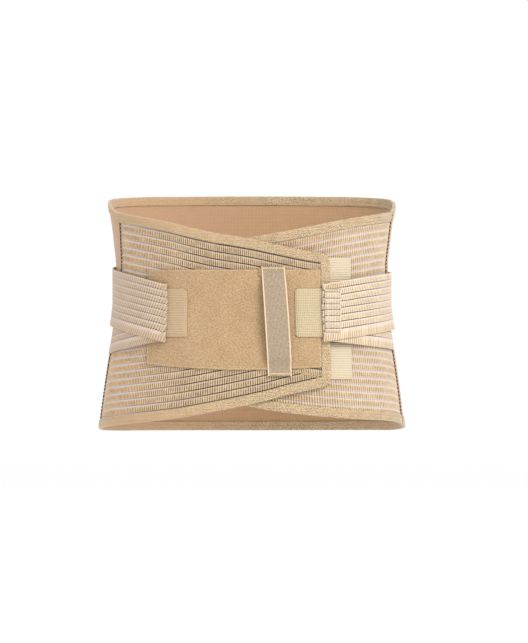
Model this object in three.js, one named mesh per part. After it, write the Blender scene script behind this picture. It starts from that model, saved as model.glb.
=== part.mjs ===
// An elastic lumbar support belt, closed round the waist as it is worn.
// Millimetres, +Z up. The front faces -Y and +X is the wearer's left.
// The origin is the middle of the waist hollow, at its narrowest level.
//
// Every piece of cloth is laid on one body surface. A place on that surface is a station and a height:
// the station is the length round the waist from the front centre line, positive towards the wearer's left.
import * as THREE from 'three';

// The waist hollow that the belt closes round
const WAIST_WIDTH = 289;
const WAIST_DEPTH = 196;
const WAIST_ROUNDNESS = 2.35; // 2 is an ellipse, more is squarer
const BELT_RISE = 80; // waist level to the top edge at the back
const BELT_DROP = 178; // waist level to the bottom edge at the back

// Walls, and the gap that neighbouring layers keep
const PANEL_WALL = 1.8;
const BACK_WALL = 2.2;
const BINDING_WALL = 0.6;
const PATCH_WALL = 1.4;
const HOOK_TAPE_WALL = 1.0;
const WEBBING_WALL = 1.2;
const STRAP_WALL = 1.5;
const LAYER_GAP = 0.35;

// Front panels: lengths round the girth from the front centre line, heights from the waist level
const OUTER_END = 80.5;
const OUTER_END_TOP = 12.6;
const OUTER_END_BOTTOM = -122.6;
const OUTER_SEAM_TOP = 57.5;
const OUTER_SEAM_BOTTOM = -172;
const RIGHT_SEAM_UPPER_STATION = -152;
const RIGHT_SEAM_LOWER_STATION = -184;
const INNER_END = -72;
const INNER_END_TOP = 16;
const INNER_END_BOTTOM = -126;
const INNER_SEAM_TOP = 59;
const INNER_SEAM_BOTTOM = -167;
const LEFT_SEAM_STATION = 171;
const OVERLAP_RAMP = 64; // the outer panel has climbed over the inner panel's end from this far before it
const OVERLAP_CLEAR = 2.5;

// Edge binding
const BINDING_WIDTH = 9;
const PANEL_CORNER = BINDING_WIDTH + 1;

// Loop-fastener patch on the outer panel
const PATCH_START = -111.5;
const PATCH_END_CLEARANCE = 0.8; // to the binding of the panel's end
const PATCH_TOP = -3;
const PATCH_BOTTOM = -104; // at its start
const PATCH_BOTTOM_FALL = 3; // from its start to its end
const PATCH_BOTTOM_SAG = 4; // its middle hangs this much lower still

// Hook-fastener tabs that close the front, sewn under the outer panel's end
const CLOSURE_TAB_REACH = 26.5;
const CLOSURE_TAB_SEWN = 14;
const CLOSURE_TAB_CORNER = 3;
const UPPER_TAB_TOP = 10;
const UPPER_TAB_HEIGHT = 37;
const LOWER_TAB_TOP = -81;
const LOWER_TAB_HEIGHT = 38;

// Finger loop: a webbing strip sewn at both ends over the patch
const LOOP_WIDTH = 24;
const LOOP_TOP = 0;
const LOOP_LENGTH = 116;
const LOOP_UPPER_STATION = 10;
const LOOP_LEAN = 6.5; // the lower end sits this much nearer the wearer's left
const LOOP_SEWN = 7;
const LOOP_BULGE = 9; // how far the middle stands off the patch
const LOOP_TURN_UP = 0.12; // share of its free length in which it leaves the patch, at each end
const LOOP_HEM_HEIGHT = 9;
const LOOP_HEM_SHIFT = 3;

// Outer tension straps: two bands on each side that meet in one end with a hook tab. The lower band is sewn
// into the side seam, and the upper one runs on to the back.
const STRAP_WIDTH = 61.5;
const STRAP_END_MIDDLE = -49.1;
const STRAP_BACK_STATION = 240;
const STRAP_SETTLE = 46; // the strap comes down from the patch to the panel in this length
const STRAP_LEVEL_OFF = 160; // an upper band climbs ever less and runs level this far from its end
const STRAP_PAST_SEAM = 198; // from this station the upper band comes down to the back panel
const LEFT_STRAP_END = 74;
const LEFT_STRAP_UPPER_SLOPE = 0.18;
const LEFT_STRAP_LOWER_SLOPE = -0.09;
const RIGHT_STRAP_END = -89.5;
const RIGHT_STRAP_UPPER_SLOPE = 0.26;
const RIGHT_STRAP_LOWER_SLOPE = -0.16;
const STRAP_TAB_HEIGHT = 52;
const STRAP_TAB_SEWN = 8;
const STRAP_TAB_CORNER = 3;
const LEFT_TAB_REACH = 29.5;
const RIGHT_TAB_REACH = 23.5;

// How finely the surfaces are faceted
const TURN_STEP = THREE.MathUtils.degToRad(6.5);
const LONGEST_STEP = 17;
const ROW_STEP = 19;
const SMALL_STEP = 9;
const STATION_CLEAR = 1;
const RAMP_STEPS = 5;
const CORNER_STEPS = 3;

// The body the belt is laid on, from the bottom edge to the top edge of the back.
// level: share of BELT_DROP below the waist or BELT_RISE above it; width, depth: shares of the waist's own;
// shift: how far the section lies towards the back, as a share of WAIST_DEPTH.
const BODY_SECTIONS = [
  { level: -1.0, width: 1.13, depth: 1.19, shift: 0.03 },
  { level: -0.74, width: 1.092, depth: 1.15, shift: 0.025 },
  { level: -0.556, width: 1.06, depth: 1.1, shift: 0.017 },
  { level: -0.376, width: 1.026, depth: 1.045, shift: 0.007 },
  { level: -0.197, width: 1.0, depth: 1.005, shift: 0.001 },
  { level: 0.0, width: 1.0, depth: 1.0, shift: 0.0 },
  { level: 0.375, width: 1.02, depth: 1.02, shift: 0.006 },
  { level: 1.0, width: 1.066, depth: 1.06, shift: 0.02 },
];

// Cut edges. along: share of the way from the seam (0) to the end (1) of a front panel, or from a seam to
// the middle of the back; edge: share of the way from the seam's height (0) to the end's or the back's (1).
const OUTER_TOP_EDGE = [
  { along: 0, edge: 0 },
  { along: 0.18, edge: 0.137 },
  { along: 0.3, edge: 0.26 },
  { along: 0.38, edge: 0.373 },
  { along: 0.48, edge: 0.495 },
  { along: 0.64, edge: 0.64 },
  { along: 0.78, edge: 0.795 },
  { along: 0.89, edge: 0.913 },
  { along: 1, edge: 1 },
];
const OUTER_BOTTOM_EDGE = [
  { along: 0, edge: 0 },
  { along: 0.21, edge: 0.114 },
  { along: 0.33, edge: 0.178 },
  { along: 0.42, edge: 0.242 },
  { along: 0.48, edge: 0.302 },
  { along: 0.62, edge: 0.471 },
  { along: 0.74, edge: 0.631 },
  { along: 0.82, edge: 0.763 },
  { along: 0.89, edge: 0.855 },
  { along: 1, edge: 1 },
];
const INNER_TOP_EDGE = [
  { along: 0, edge: 0 },
  { along: 0.11, edge: 0.06 },
  { along: 0.28, edge: 0.2 },
  { along: 0.54, edge: 0.5 },
  { along: 0.66, edge: 0.626 },
  { along: 1, edge: 1 },
];
const INNER_BOTTOM_EDGE = [
  { along: 0, edge: 0 },
  { along: 0.09, edge: 0.08 },
  { along: 0.35, edge: 0.193 },
  { along: 0.59, edge: 0.36 },
  { along: 0.68, edge: 0.465 },
  { along: 1, edge: 1 },
];
const BACK_TOP_EDGE = [
  { along: 0, edge: 0 },
  { along: 0.04, edge: 0.1 },
  { along: 0.11, edge: 0.36 },
  { along: 0.28, edge: 0.75 },
  { along: 0.6, edge: 0.95 },
  { along: 1, edge: 1 },
];
const BACK_BOTTOM_EDGE = [
  { along: 0, edge: 0 },
  { along: 0.15, edge: 0.5 },
  { along: 0.4, edge: 0.85 },
  { along: 1, edge: 1 },
];

/** Reads one column of a table smoothly and without overshoot, for a value of its key column. */
function readTable(rows, key, column, value) {
  const slope = (i) => (rows[i + 1][column] - rows[i][column]) / (rows[i + 1][key] - rows[i][key]);
  const tangent = (i) => {
    if (i === 0) return slope(0);
    if (i === rows.length - 1) return slope(i - 1);
    const [before, after] = [slope(i - 1), slope(i)];
    return before * after > 0 ? (2 * before * after) / (before + after) : 0;
  };
  const at = THREE.MathUtils.clamp(value, rows[0][key], rows[rows.length - 1][key]);
  let i = 0;
  while (i < rows.length - 2 && at > rows[i + 1][key]) i += 1;
  const span = rows[i + 1][key] - rows[i][key];
  const t = (at - rows[i][key]) / span;
  const [t2, t3] = [t * t, t * t * t];
  return (
    (2 * t3 - 3 * t2 + 1) * rows[i][column] +
    (t3 - 2 * t2 + t) * span * tangent(i) +
    (3 * t2 - 2 * t3) * rows[i + 1][column] +
    (t3 - t2) * span * tangent(i + 1)
  );
}

function section(z) {
  const level = z / (z < 0 ? BELT_DROP : BELT_RISE);
  const read = (column) => readTable(BODY_SECTIONS, 'level', column, level);
  return { width: read('width'), depth: read('depth'), shift: read('shift') * WAIST_DEPTH };
}

/** The body surface at a direction from the front (radians, towards the wearer's left) and a height. */
function bodyPoint(direction, z) {
  const { width, depth, shift } = section(z);
  const across = Math.abs(Math.sin(direction)) / ((width * WAIST_WIDTH) / 2);
  const through = Math.abs(Math.cos(direction)) / ((depth * WAIST_DEPTH) / 2);
  const radius = (across ** WAIST_ROUNDNESS + through ** WAIST_ROUNDNESS) ** (-1 / WAIST_ROUNDNESS);
  return new THREE.Vector3(radius * Math.sin(direction), shift - radius * Math.cos(direction), z);
}

const rampTop = INNER_END - OVERLAP_CLEAR;

/** Lengths round half the waist at equal steps of direction, from the front centre to the back centre. */
function measureWaist() {
  const steps = 720;
  const lengths = [0];
  let last = bodyPoint(0, 0);
  for (let i = 1; i <= steps; i += 1) {
    const next = bodyPoint((Math.PI * i) / steps, 0);
    lengths.push(lengths[i - 1] + next.distanceTo(last));
    last = next;
  }
  return lengths;
}
const waistLengths = measureWaist();
const halfGirth = waistLengths[waistLengths.length - 1];

/** The direction of a station, which may run past the back centre. */
function directionAt(station) {
  const turns = Math.round(station / (2 * halfGirth));
  const along = station - turns * 2 * halfGirth;
  let i = 0;
  while (i < waistLengths.length - 2 && waistLengths[i + 1] < Math.abs(along)) i += 1;
  const part = (Math.abs(along) - waistLengths[i]) / (waistLengths[i + 1] - waistLengths[i]);
  const direction = (Math.PI * (i + part)) / (waistLengths.length - 1);
  return Math.sign(along) * direction + turns * 2 * Math.PI;
}

/** A point of the body surface and the normal there, which points out. */
function frameAt(station, z) {
  const direction = directionAt(station);
  const small = 0.002;
  const along = bodyPoint(direction + small, z).sub(bodyPoint(direction - small, z));
  const up = bodyPoint(direction, z + 0.5).sub(bodyPoint(direction, z - 0.5));
  return { point: bodyPoint(direction, z), normal: along.cross(up).normalize() };
}

/**
 * A place lifted off the body. Between two shared stations it lies straight between them, as every layer
 * does, so layers keep their gaps wherever their own edges fall.
 */
function clothFrame(station, z, lift) {
  const turn = 2 * halfGirth * Math.round(station / (2 * halfGirth));
  const within = station - turn;
  const after = stations.findIndex((s) => s >= within);
  const right = stations[after];
  const left = after > 0 ? stations[after - 1] : -halfGirth;
  const share = (within - left) / (right - left);
  const ends = [left, right].map((s) => {
    const { point, normal } = frameAt(s, z);
    return { normal, point: point.addScaledVector(normal, lift(s + turn, z)) };
  });
  return {
    point: ends[0].point.lerp(ends[1].point, share),
    normal: ends[0].normal.lerp(ends[1].normal, share),
  };
}

/** A cut line at a true length round the girth, as the station that it has at each height. */
function cutAt(length) {
  return (z) => (2 * length) / (section(z).width + section(z).depth);
}

/**
 * Stations that every layer shares, so that all are faceted alike. They lie closer where the body turns
 * faster, and on the ramp where the outer panel climbs over the inner one.
 */
function sharedStations() {
  const stations = [0];
  const heading = (i) => {
    const step = bodyPoint((Math.PI * (i + 1)) / 720, 0).sub(bodyPoint((Math.PI * i) / 720, 0));
    return Math.atan2(step.y, step.x);
  };
  let last = 0;
  for (let i = 1; i < 720; i += 1) {
    const turned = Math.abs(heading(i) - heading(last));
    if (turned > TURN_STEP || waistLengths[i] - waistLengths[last] > LONGEST_STEP) {
      stations.push(waistLengths[i]);
      last = i;
    }
  }
  const oneWay = stations.filter((s) => halfGirth - s > SMALL_STEP / 2);
  const both = [...oneWay.slice(1).map((s) => -s), ...oneWay, halfGirth];
  const ramp = [];
  for (let k = 0; k <= RAMP_STEPS; k += 1) {
    ramp.push(rampTop - ((OVERLAP_RAMP - OVERLAP_CLEAR) * k) / RAMP_STEPS);
  }
  const clearOfRamp = both.filter((s) => ramp.every((r) => Math.abs(r - s) > SMALL_STEP / 2));
  return [...clearOfRamp, ...ramp].sort((a, b) => a - b);
}
const stations = sharedStations();

/** The shared stations that lie between two column lines at every height from low to high. */
function stationsBetween(fromLine, toLine, low, high) {
  const from = Math.max(fromLine(low), fromLine(high)) + STATION_CLEAR;
  const to = Math.min(toLine(low), toLine(high)) - STATION_CLEAR;
  const found = [];
  for (const turn of [-1, 0, 1]) {
    found.push(...stations.map((s) => s + turn * 2 * halfGirth));
  }
  return found.filter((s) => s > from && s < to).sort((a, b) => a - b);
}

const smooth = (from, to, value) => THREE.MathUtils.smoothstep(value, from, to);
const fixed = (station) => () => station;

/** A closed solid from vertices and triangles, turned so that its faces point out. */
function solid(points, triangles) {
  let volume = 0;
  for (const [a, b, c] of triangles) {
    volume += points[a].dot(points[b].clone().cross(points[c]));
  }
  const faces = volume < 0 ? triangles.map(([a, b, c]) => [a, c, b]) : triangles;
  const geometry = new THREE.BufferGeometry();
  geometry.setAttribute('position', new THREE.Float32BufferAttribute(points.flatMap((p) => p.toArray()), 3));
  geometry.setIndex(faces.flat());
  geometry.computeVertexNormals();
  return geometry;
}

const twoTriangles = (a, b, c, d) => [[a, b, c], [a, c, d]];

/**
 * The grid of places that a piece of cloth covers: a column for each station line, a row for each share of
 * the height between its lower and upper edges.
 */
function clothGrid({ columns, lower, upper, rowStep = ROW_STEP }) {
  const tallest = Math.max(...columns.map((line) => upper(line(0)) - lower(line(0))));
  const rows = Math.max(1, Math.ceil(tallest / rowStep));
  return columns.map((line) => {
    const column = [];
    for (let j = 0; j <= rows; j += 1) {
      let z = 0;
      let station = line(z);
      for (let pass = 0; pass < 8; pass += 1) {
        z = lower(station) + ((upper(station) - lower(station)) * j) / rows;
        station = line(z);
      }
      column.push({ station, z, line });
    }
    return column;
  });
}

/** A wall of cloth over a grid of places, lift off the body and wall thick. */
function clothWall(grid, lift, wall) {
  const [columns, rows] = [grid.length, grid[0].length];
  const points = [];
  for (const column of grid) {
    for (const { station, z } of column) {
      const { point, normal } = clothFrame(station, z, lift);
      points.push(point, point.clone().addScaledVector(normal, wall));
    }
  }
  const inner = (i, j) => 2 * (i * rows + j);
  const outer = (i, j) => inner(i, j) + 1;
  const triangles = [];
  for (let i = 0; i < columns - 1; i += 1) {
    for (let j = 0; j < rows - 1; j += 1) {
      triangles.push(...twoTriangles(outer(i, j), outer(i + 1, j), outer(i + 1, j + 1), outer(i, j + 1)));
      triangles.push(...twoTriangles(inner(i, j), inner(i, j + 1), inner(i + 1, j + 1), inner(i + 1, j)));
    }
    triangles.push(...twoTriangles(inner(i, 0), inner(i + 1, 0), outer(i + 1, 0), outer(i, 0)));
    const top = rows - 1;
    triangles.push(...twoTriangles(inner(i, top), outer(i, top), outer(i + 1, top), inner(i + 1, top)));
  }
  for (let j = 0; j < rows - 1; j += 1) {
    const end = columns - 1;
    triangles.push(...twoTriangles(inner(0, j), outer(0, j), outer(0, j + 1), inner(0, j + 1)));
    triangles.push(...twoTriangles(inner(end, j), inner(end, j + 1), outer(end, j + 1), outer(end, j)));
  }
  return solid(points, triangles);
}

/** How much longer the girth is at a height than at the waist. */
function girthRatio(z) {
  const { width, depth } = section(z);
  return (width + depth) / 2;
}

/** The place one binding width in from each place of an outline, on the same column where it has one. */
function bindingReach(outline) {
  const flat = outline.map(({ station, z }) => new THREE.Vector2(station * girthRatio(z), z));
  return outline.map(({ z, line }, i) => {
    const before = flat[i].clone().sub(flat[Math.max(i - 1, 0)]).normalize();
    const after = flat[Math.min(i + 1, flat.length - 1)].clone().sub(flat[i]).normalize();
    const along = before.clone().add(after).normalize();
    const inward = new THREE.Vector2(along.y, -along.x);
    if (line) {
      const next = z + Math.sign(inward.y);
      const column = new THREE.Vector2(line(next) * girthRatio(next), next).sub(flat[i]).normalize();
      const deep = z + (column.y * BINDING_WIDTH) / column.dot(inward);
      return { station: line(deep), z: deep };
    }
    const mitre = 1 / along.dot(i === 0 ? after : before);
    const to = flat[i].clone().addScaledVector(inward, BINDING_WIDTH * mitre);
    return { station: to.x / girthRatio(to.y), z: to.y };
  });
}

/** Folded tape round an edge: a U section that follows the outline of a panel, which runs clockwise. */
function bindingTape(outline, lift, wall) {
  const base = ({ station, z }) => clothFrame(station, z, lift);
  const edges = outline.map(base);
  const insides = bindingReach(outline).map(base);
  const fold = LAYER_GAP + BINDING_WALL;
  const profile = [
    [BINDING_WIDTH, wall + LAYER_GAP],
    [BINDING_WIDTH, wall + fold],
    [-LAYER_GAP, wall + fold],
    [-fold, wall + LAYER_GAP],
    [-fold, -LAYER_GAP],
    [-LAYER_GAP, -fold],
    [BINDING_WIDTH, -fold],
    [BINDING_WIDTH, -LAYER_GAP],
    [-LAYER_GAP, -LAYER_GAP],
    [-LAYER_GAP, wall + LAYER_GAP],
  ];
  const points = [];
  edges.forEach((edge, i) => {
    const inward = insides[i].point.clone().sub(edge.point).normalize();
    for (const [reach, height] of profile) {
      const from = reach > 0 ? insides[i] : edge;
      const beyond = reach > 0 ? 0 : reach;
      points.push(from.point.clone().addScaledVector(inward, beyond).addScaledVector(from.normal, height));
    }
  });
  const around = profile.length;
  const triangles = [];
  for (let i = 0; i < edges.length - 1; i += 1) {
    for (let k = 0; k < around; k += 1) {
      const next = (k + 1) % around;
      const [a, b] = [i * around + k, i * around + next];
      triangles.push(...twoTriangles(a, a + around, b + around, b));
    }
  }
  const cap = THREE.ShapeUtils.triangulateShape(profile.map(([x, y]) => new THREE.Vector2(x, y)), []);
  const last = (edges.length - 1) * around;
  for (const [a, b, c] of cap) {
    triangles.push([a, b, c], [last + a, last + c, last + b]);
  }
  return solid(points, triangles);
}

/** An edge between two heights that follows a table of shares. */
function cutEdge(table, fromStation, toStation, fromHeight, toHeight) {
  return (station) => {
    const along = (station - fromStation) / (toStation - fromStation);
    return fromHeight + (toHeight - fromHeight) * readTable(table, 'along', 'edge', along);
  };
}

/** How much a round corner takes off an edge, at a distance from the end. */
function cornerCut(radius, distance) {
  const into = THREE.MathUtils.clamp(radius - distance, 0, radius);
  return radius - Math.sqrt(radius * radius - into * into);
}

/** Distances from an end at which a round corner has its columns, from its start to the end itself. */
function cornerSteps(radius) {
  const steps = [];
  for (let k = 0; k <= CORNER_STEPS; k += 1) {
    steps.push(radius * (1 - Math.sin((k * Math.PI) / 2 / CORNER_STEPS)));
  }
  return steps;
}

/**
 * A front panel: its grid and the outline that its binding follows. It runs from a slanting seam to an
 * upright end with two round corners, towards +1 (the wearer's left) or -1.
 */
function frontPanel({ seam, end, towards, top, bottom }) {
  const endLine = cutAt(end);
  const [endAtTop, endAtBottom] = [endLine(top(endLine(0))), endLine(bottom(endLine(0)))];
  const upper = (s) => top(s) - cornerCut(PANEL_CORNER, towards * (endAtTop - s));
  const lower = (s) => bottom(s) + cornerCut(PANEL_CORNER, towards * (endAtBottom - s));
  const corner = cornerSteps(PANEL_CORNER).map((distance) => (z) => endLine(z) - towards * distance);
  const seamSide = (z) => seam(z) + (towards * LAYER_GAP) / 2;
  const [low, high] = [bottom(seam(0)), top(seam(0))];
  const [from, to] = towards > 0 ? [seamSide, corner[0]] : [corner[0], seamSide];
  const between = stationsBetween(from, to, low, high);
  if (towards < 0) between.reverse();
  const columns = [seamSide, ...between.map(fixed), ...corner];
  const grid = clothGrid({ columns, lower, upper });
  const rows = grid[0].length;
  const rounded = ({ station, z }) => ({ station, z });
  const [straight, turning] = [grid.slice(0, -corner.length), grid.slice(-corner.length)];
  const outline = [
    ...straight.map((column) => column[rows - 1]),
    ...turning.map((column) => rounded(column[rows - 1])),
    ...turning[turning.length - 1].slice(1, rows - 1).map(rounded).reverse(),
    ...turning.map((column) => rounded(column[0])).reverse(),
    ...straight.map((column) => column[0]).reverse(),
  ];
  return { grid, outline };
}

/** The slanting seam at the wearer's right, and the upright one at the left. */
function rightSeam(z) {
  const share = (OUTER_SEAM_TOP - z) / (OUTER_SEAM_TOP - OUTER_SEAM_BOTTOM);
  return THREE.MathUtils.lerp(RIGHT_SEAM_UPPER_STATION, RIGHT_SEAM_LOWER_STATION, share);
}
const leftSeam = fixed(LEFT_SEAM_STATION);

// Lift of each layer off the body
const outerPanelLift = PANEL_WALL + HOOK_TAPE_WALL + BINDING_WALL + 3 * LAYER_GAP;
const outerLift = (s) => outerPanelLift * smooth(INNER_END - OVERLAP_RAMP, rampTop, s);
const patchLift = (s) => outerLift(s) + PANEL_WALL + LAYER_GAP;
const onPatch = (s) => patchLift(s) + PATCH_WALL + LAYER_GAP;
const strapOnPatch = (s) => onPatch(s) + HOOK_TAPE_WALL + LAYER_GAP;
const strapOnPanel = BACK_WALL + 2 * LAYER_GAP;

const fabrics = {
  mesh: new THREE.MeshStandardMaterial({ color: 0xc9b294, roughness: 0.9, metalness: 0 }),
  back: new THREE.MeshStandardMaterial({ color: 0xd0ab84, roughness: 0.85, metalness: 0 }),
  binding: new THREE.MeshStandardMaterial({ color: 0xcba781, roughness: 0.9, metalness: 0 }),
  velour: new THREE.MeshStandardMaterial({ color: 0xcaa981, roughness: 1, metalness: 0 }),
  hookTape: new THREE.MeshStandardMaterial({ color: 0xe0cba4, roughness: 0.6, metalness: 0 }),
  webbing: new THREE.MeshStandardMaterial({ color: 0xbfab90, roughness: 0.8, metalness: 0 }),
  strap: new THREE.MeshStandardMaterial({ color: 0xd3c2ab, roughness: 0.9, metalness: 0 }),
};

const belt = new THREE.Group();
belt.name = 'lumbar_support_belt';

function add(name, geometry, fabric) {
  const mesh = new THREE.Mesh(geometry, fabric);
  mesh.name = name;
  belt.add(mesh);
}

function addFrontPanels() {
  const [seamTop, seamBottom] = [RIGHT_SEAM_UPPER_STATION, RIGHT_SEAM_LOWER_STATION];
  const outer = frontPanel({
    seam: rightSeam,
    end: OUTER_END,
    towards: 1,
    top: cutEdge(OUTER_TOP_EDGE, seamTop, OUTER_END, OUTER_SEAM_TOP, OUTER_END_TOP),
    bottom: cutEdge(OUTER_BOTTOM_EDGE, seamBottom, OUTER_END, OUTER_SEAM_BOTTOM, OUTER_END_BOTTOM),
  });
  add('front_panel_outer', clothWall(outer.grid, outerLift, PANEL_WALL), fabrics.mesh);
  add('binding_front_outer', bindingTape(outer.outline, outerLift, PANEL_WALL), fabrics.binding);

  const inner = frontPanel({
    seam: leftSeam,
    end: INNER_END,
    towards: -1,
    top: cutEdge(INNER_TOP_EDGE, LEFT_SEAM_STATION, INNER_END, INNER_SEAM_TOP, INNER_END_TOP),
    bottom: cutEdge(INNER_BOTTOM_EDGE, LEFT_SEAM_STATION, INNER_END, INNER_SEAM_BOTTOM, INNER_END_BOTTOM),
  });
  const onBody = () => 0;
  add('front_panel_inner', clothWall(inner.grid, onBody, PANEL_WALL), fabrics.mesh);
  inner.outline.reverse();
  add('binding_front_inner', bindingTape(inner.outline, onBody, PANEL_WALL), fabrics.binding);
}

/** The back panel runs from the left seam round the back to the right seam. */
function addBackPanel() {
  const rightSeamRound = (z) => 2 * halfGirth + rightSeam(z) - LAYER_GAP / 2;
  const edge = (table, leftHeight, rightHeight, backHeight, rightStation) => (s) => {
    const left = cutEdge(table, LEFT_SEAM_STATION, halfGirth, leftHeight, backHeight);
    const right = cutEdge(table, 2 * halfGirth + rightStation, halfGirth, rightHeight, backHeight);
    return s < halfGirth ? left(s) : right(s);
  };
  const [seamTop, seamBottom] = [RIGHT_SEAM_UPPER_STATION, RIGHT_SEAM_LOWER_STATION];
  const upper = edge(BACK_TOP_EDGE, INNER_SEAM_TOP, OUTER_SEAM_TOP, BELT_RISE, seamTop);
  const lower = edge(BACK_BOTTOM_EDGE, INNER_SEAM_BOTTOM, OUTER_SEAM_BOTTOM, -BELT_DROP, seamBottom);
  const leftSeamRound = fixed(LEFT_SEAM_STATION + LAYER_GAP / 2);
  const between = stationsBetween(leftSeamRound, rightSeamRound, OUTER_SEAM_BOTTOM, OUTER_SEAM_TOP);
  const columns = [leftSeamRound, ...between.map(fixed), rightSeamRound];
  const grid = clothGrid({ columns, lower, upper });
  const onBody = () => 0;
  add('back_panel', clothWall(grid, onBody, BACK_WALL), fabrics.back);
  const rows = grid[0].length;
  const top = grid.map((column) => column[rows - 1]);
  const bottom = grid.map((column) => column[0]).reverse();
  add('binding_back_top', bindingTape(top, onBody, BACK_WALL), fabrics.binding);
  add('binding_back_bottom', bindingTape(bottom, onBody, BACK_WALL), fabrics.binding);
}

/** An upright piece of tape between two true lengths, with round corners at one end or both. */
function tapeGrid({ from, to, top, bottom, corner, roundFrom = false, roundTo = false }) {
  const [fromLine, toLine] = [cutAt(from), cutAt(to)];
  const middle = (top + bottom) / 2;
  const cut = (s) => {
    const fromStart = roundFrom ? cornerCut(corner, s - fromLine(middle)) : 0;
    return Math.max(fromStart, roundTo ? cornerCut(corner, toLine(middle) - s) : 0);
  };
  const steps = cornerSteps(corner);
  const starts = roundFrom ? steps.map((distance) => cutAt(from + distance)).reverse() : [fromLine];
  const ends = roundTo ? steps.map((distance) => cutAt(to - distance)) : [toLine];
  const between = stationsBetween(starts[starts.length - 1], ends[0], bottom, top);
  return clothGrid({
    columns: [...starts, ...between.map(fixed), ...ends],
    lower: (s) => bottom + cut(s),
    upper: (s) => top - cut(s),
  });
}

function addPatch() {
  const end = OUTER_END - BINDING_WIDTH - PATCH_END_CLEARANCE;
  const [startLine, endLine] = [cutAt(PATCH_START), cutAt(end)];
  const between = stationsBetween(startLine, endLine, PATCH_BOTTOM, PATCH_TOP);
  const columns = [startLine, ...between.map(fixed), endLine];
  const lower = (s) => {
    const share = (s - PATCH_START) / (end - PATCH_START);
    return PATCH_BOTTOM - PATCH_BOTTOM_FALL * share - PATCH_BOTTOM_SAG * Math.sin(Math.PI * share);
  };
  const grid = clothGrid({ columns, lower, upper: () => PATCH_TOP });
  add('loop_fastener_patch', clothWall(grid, patchLift, PATCH_WALL), fabrics.velour);
}

function addClosureTabs() {
  const lift = () => PANEL_WALL + LAYER_GAP;
  const tabs = [
    { name: 'closure_hook_tab_upper', top: UPPER_TAB_TOP, height: UPPER_TAB_HEIGHT },
    { name: 'closure_hook_tab_lower', top: LOWER_TAB_TOP, height: LOWER_TAB_HEIGHT },
  ];
  for (const { name, top, height } of tabs) {
    const grid = tapeGrid({
      from: OUTER_END - CLOSURE_TAB_SEWN,
      to: OUTER_END + CLOSURE_TAB_REACH,
      top,
      bottom: top - height,
      corner: CLOSURE_TAB_CORNER,
      roundTo: true,
    });
    add(name, clothWall(grid, lift, HOOK_TAPE_WALL), fabrics.hookTape);
  }
}

/** The finger loop is sewn at its two ends and stands off the patch between them. */
function addFingerLoop() {
  const bottom = LOOP_TOP - LOOP_LENGTH;
  const lean = (z) => (LOOP_LEAN * (LOOP_TOP - z)) / LOOP_LENGTH;
  const hemStack = HOOK_TAPE_WALL + LAYER_GAP;
  const bulge = (z) => {
    const free = THREE.MathUtils.clamp((z - bottom - LOOP_SEWN) / (LOOP_LENGTH - 2 * LOOP_SEWN), 0, 1);
    const overHem = hemStack * smooth(LOOP_TOP - 3 * LOOP_HEM_HEIGHT, LOOP_TOP - LOOP_HEM_HEIGHT, z);
    const turnUp = smooth(0, LOOP_TURN_UP, free) * smooth(0, LOOP_TURN_UP, 1 - free);
    return overHem + LOOP_BULGE * Math.sqrt(Math.sin(Math.PI * free)) * turnUp;
  };
  const columns = [];
  for (const share of [0, 1 / 3, 2 / 3, 1]) {
    columns.push((z) => cutAt(LOOP_UPPER_STATION + share * LOOP_WIDTH + lean(z))(z));
  }
  const grid = clothGrid({ columns, lower: () => bottom, upper: () => LOOP_TOP, rowStep: SMALL_STEP });
  add('finger_loop', clothWall(grid, (s, z) => onPatch(s) + bulge(z), WEBBING_WALL), fabrics.webbing);
  const hem = tapeGrid({
    from: LOOP_UPPER_STATION - LOOP_HEM_SHIFT,
    to: LOOP_UPPER_STATION + LOOP_WIDTH - LOOP_HEM_SHIFT,
    top: LOOP_TOP - 1,
    bottom: LOOP_TOP - 1 - LOOP_HEM_HEIGHT,
    corner: 1,
  });
  add('finger_loop_hem', clothWall(hem, onPatch, HOOK_TAPE_WALL), fabrics.webbing);
}

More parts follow.
